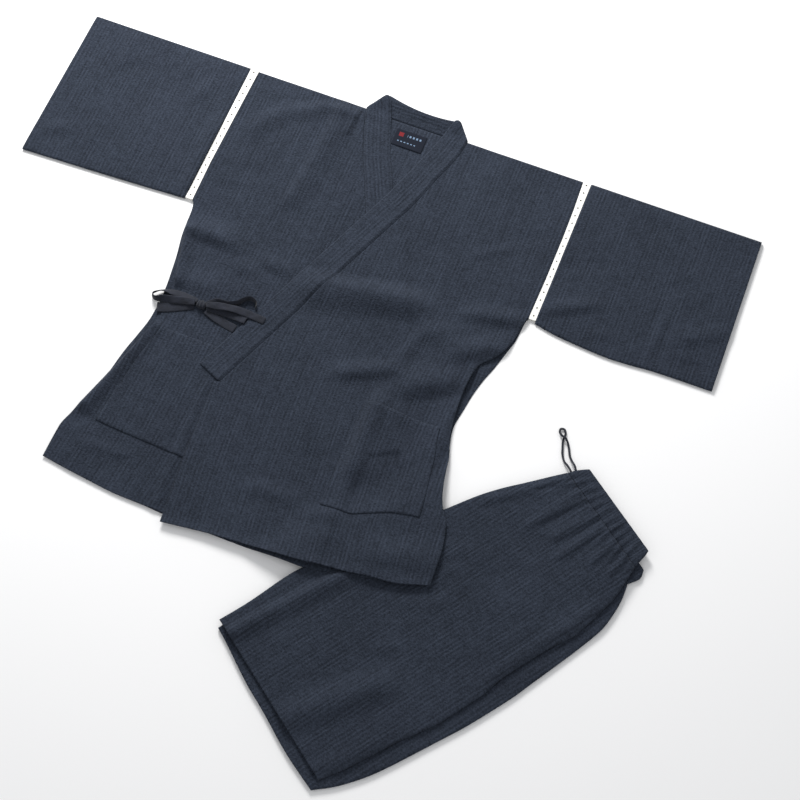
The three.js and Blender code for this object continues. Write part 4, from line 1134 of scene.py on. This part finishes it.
def bow():
    made_knot = knot()
    for seed, (name, rows) in enumerate(TIES.items(), 72):
        piece, length = tape(name, rows, seed)


# Trousers: each leg is a flattened tube, and each half of the gathered casing another at its upper end

def upper_level(y):
    return LEG_HEIGHT + GAP + 2.5 * smooth((y - 430) / 110)


def upper_height(y):
    return LEG_HEIGHT - 2.2 * (1 - smooth(y / 50))


def under_height(y):
    return LEG_HEIGHT + 2 * smooth((y - 430) / 100)


def hem_sag(x, y):
    """How far the under leg's hem rises towards the inner edge and sags past its middle"""
    rise = HEM_RISE * smooth((-20 - x) / 120) - HEM_SAG * smooth(1 - np.abs(x - 85) / 90)
    return rise * smooth((40 - y) / 60)


def to_jacket(points):
    """Turns points of the trousers' own frame into the jacket's"""
    c = math.cos(TROUSERS_TURN)
    s = math.sin(TROUSERS_TURN)
    x = TROUSERS[0] + points[..., 0] * c - points[..., 1] * s
    y = TROUSERS[1] + points[..., 0] * s + points[..., 1] * c
    return stack(x, y, points[..., 2])


def leg(name, outline, cell, level, height, relief, sag):
    stations = divide([outline["y"][0], outline["y"][0] + 6, outline["y"][-1]], [2, cell])
    count = int(330 / cell)
    rings = {0: [], WALL: []}
    weave = []
    for y in stations:
        inner = float(glide(outline, "inner", y))
        outer = float(glide(outline, "outer", y))
        across = across_tube(inner, outer, (outer - inner - 2 * EDGE_ROUND) / count)
        height_here = relief(across, y)
        for inset, made in rings.items():
            x, z = flat_ring(across, level(y), height(y), height_here, inset)
            made.append(to_jacket(stack(x, y + sag(x, y), z)))
        over = np.arange(len(x)) < len(across)
        weave.append(stack(np.where(over, x, 400 - x), y, 0) + [700, 0, 0])
    piece = hose(name, np.array(rings[0]), np.array(rings[WALL]), np.array(weave), CLOTH)


CASING_UPPER = columns(
    "y inner outer ripple",
    (LEG_LENGTH + GAP, -51, 132, 1), (LEG_LENGTH + 10, -49, 130, 0.9), (LEG_LENGTH + 22, -44, 127, 0.6),
    (LEG_LENGTH + CASING_LENGTH, -38, 123, 0.25),
)
CASING_UNDER = columns(
    "y inner outer ripple",
    (UNDER_LENGTH + GAP, -54, 147, 1), (UNDER_LENGTH + 22, -46, 151, 0.8),
    (UNDER_LENGTH + CASING_LENGTH + 3, -42, 143, 0.3),
)


def gather(x, inner, outer, seed):
    """Ripples of the gathered waist, uneven in width and depth, between 0 and 1"""
    share = (x - inner) / (outer - inner)
    shifted = share + 0.012 * hills(share * 100, 0 * share, 9, 9, seed)
    wave = (1 - np.cos(shifted * GATHERS * 2 * np.pi)) / 2
    return wave ** 1.4 * (0.65 + 0.35 * hills(share * 100, 0 * share, 7, 9, seed + 1))


def casing(name, rows, level, height, ripple, seed):
    stations = divide([rows["y"][0], rows["y"][-1] - 4, rows["y"][-1]], [2.5, 1])
    rings = {0: [], WALL: []}
    weave = []
    for y in stations:
        inner = float(glide(rows, "inner", y))
        outer = float(glide(rows, "outer", y))
        across = across_tube(inner, outer, (outer - inner - 2 * EDGE_ROUND) / 130)
        stretch = float(glide(rows, "ripple", y))
        relief = ripple * stretch * gather(across, inner, outer, seed)
        swell = 0.5 * np.sin(np.pi * np.clip((y - stations[0]) / 30, 0, 1))
        relief = relief + swell * (1 + hills(across, y, 9, 7, seed))
        for inset, made in rings.items():
            x, z = flat_ring(across, level, height, relief, inset)
            made.append(to_jacket(stack(x, y, z)))
        over = np.arange(len(x)) < len(across)
        weave.append(stack(np.where(over, 1.4 * x, 400 - 1.4 * x), y, 0) + [700, 0, 0])
    piece = hose(name, np.array(rings[0]), np.array(rings[WALL]), np.array(weave), CLOTH)


def upper_relief(x, y):
    top = fold_height(TROUSER_FOLDS, x, y) + fold_height(TROUSER_CREASES, x, y) + rumple(x, y + 0 * x, 81)
    waist = np.exp(-(LEG_LENGTH - y) / 32)
    gathers = 3.6 * waist * gather(x, glide(UPPER_LEG, "inner", y), glide(UPPER_LEG, "outer", y), 91)
    hem = 0.5 * (1 - smooth((y - 21) / 2))
    return np.maximum(top * (1 - 0.5 * waist), 0) + gathers + hem


def under_relief(x, y):
    shown = smooth((x - 120) / 25) + smooth((14 - y) / 12) * 0.5
    return 0.7 * rumple(x, y + 0 * x, 85) * np.clip(shown, 0, 1)


def trousers():
    leg("leg_under", UNDER_LEG, 6, lambda y: 0, under_height, under_relief, hem_sag)
    leg("leg_upper", UPPER_LEG, CELL, upper_level, upper_height, upper_relief, lambda x, y: 0)
    casing("casing_under", CASING_UNDER, 0, LEG_HEIGHT + 0.6, 1.2, 95)
    casing("casing_upper", CASING_UPPER, float(upper_level(LEG_LENGTH)), LEG_HEIGHT, 3.6, 97)


# Loop of the drawstring, out of the casing's end and back in

CORD_WIDTH = 3.6
CORD_THICKNESS = 2.6
CORD_ROUTE = [
    (453.2, -506.8, 11), (449.6, -502.9, 10.2), (444.5, -497.6, 7), (437, -491.5, 3.6), (431, -482, 2.4),
    (427.5, -472, 2.2), (424.5, -462, 2.2), (423.5, -454, 2.2), (423.8, -446, 2.2), (419.5, -439.5, 2.2),
    (413.5, -441, 2.2), (414.5, -447.5, 3.4), (420, -452.5, 6.4), (427, -454.5, 5.6), (433.5, -461.5, 2.6),
    (438.5, -471, 2.2), (442.5, -479.5, 2.4), (448.5, -487, 5), (455.5, -494.8, 9.6), (459.8, -502, 11),
]


def drawstring():
    path = through(CORD_ROUTE, 5)
    along = np.gradient(path, axis=0)
    along /= np.linalg.norm(along, axis=1, keepdims=True)
    side = np.cross([0, 0, 1.0], along)
    side /= np.linalg.norm(side, axis=1, keepdims=True)
    up = np.cross(along, side)
    turn = np.linspace(0, 2 * np.pi, 16, endpoint=False)
    length = run_length(path)
    braid = 1 + 0.05 * np.sin(length[:, None] * 2.6 + 2 * turn[None, :])
    wide = CORD_WIDTH / 2 * np.cos(turn)[None, :, None] * side[:, None, :]
    high = CORD_THICKNESS / 2 * np.sin(turn)[None, :, None] * up[:, None, :]
    rings = path[:, None, :] + (wide + high) * braid[..., None]
    ends = [np.repeat(path[i][None, None, :], 16, 1) for i in (0, -1)]
    points = np.concatenate([ends[0], rings, ends[1]])
    index = np.arange(points.shape[0] * 16).reshape(-1, 16)
    wrapped = np.concatenate([index, index[:, :1]], 1)
    lengths = np.concatenate([[0], length, length[-1:]])
    weave = stack(turn[None, :] * CORD_WIDTH / 2, lengths[:, None], 0).reshape(-1, 3)
    piece = make_piece("drawstring", points.reshape(-1, 3), cells(wrapped), weave, BRAID)


# Stage: a plain pale floor, soft studio light and the camera at the photograph's angle

CAMERA = {
    "azimuth": 21.45, "elevation": 68.13, "distance": 2.729, "lens": 75.7, "target": (0.155, 0.05232, 0),
}


def camera():
    data = bpy.data.cameras.new("camera")
    data.lens = CAMERA["lens"]
    data.sensor_width = 36
    data.clip_end = 100
    a = math.radians(CAMERA["azimuth"])
    e = math.radians(CAMERA["elevation"])
    back = Vector((math.sin(a) * math.cos(e), -math.cos(a) * math.cos(e), math.sin(e)))
    made = bpy.data.objects.new("camera", data)
    made.location = Vector(CAMERA["target"]) + back * CAMERA["distance"]
    made.rotation_mode = "QUATERNION"
    made.rotation_quaternion = (-back).to_track_quat("-Z", "Y")
    bpy.context.scene.collection.objects.link(made)
    bpy.context.scene.camera = made


def area_light(name, place, size, power, colour):
    data = bpy.data.lights.new(name, "AREA")
    data.shape = "DISK"
    data.size = size
    data.energy = power
    data.color = colour
    light = bpy.data.objects.new(name, data)
    light.location = place
    light.rotation_mode = "QUATERNION"
    light.rotation_quaternion = Vector(place).to_track_quat("Z", "Y")
    bpy.context.scene.collection.objects.link(light)


def studio():
    mesh = bpy.data.meshes.new("floor")
    half = 30
    corners = [(-half, -half, 0), (half, -half, 0), (half, half, 0), (-half, half, 0)]
    mesh.from_pydata(corners, [], [(0, 1, 2, 3)])
    floor = bpy.data.objects.new("floor", mesh)
    floor.location.z = -0.0004
    material = bpy.data.materials.new("floor_pale")
    material.use_nodes = True
    surface = material.node_tree.nodes["Principled BSDF"]
    surface.inputs["Base Color"].default_value = (0.94, 0.94, 0.94, 1)
    surface.inputs["Roughness"].default_value = 0.9
    surface.inputs["Specular IOR Level"].default_value = 0.1
    mesh.materials.append(material)
    bpy.context.scene.collection.objects.link(floor)
    area_light("key", (-0.9, 1.72, 1.25), 0.8, 62, (1.0, 0.99, 0.98))
    world = bpy.data.worlds.new("world")
    world.use_nodes = True
    background = world.node_tree.nodes["Background"]
    background.inputs["Color"].default_value = (0.97, 0.98, 1.0, 1)
    background.inputs["Strength"].default_value = 0.6
    bpy.context.scene.world = world
    bpy.context.scene.view_settings.view_transform = "Standard"


camera()
drawstring()
body_panels()
collar()
for sleeve_name in SLEEVES:
    sleeve(sleeve_name)
for lace_name in LACES:
    lace(lace_name)
label()
bow()
trousers()
studio()
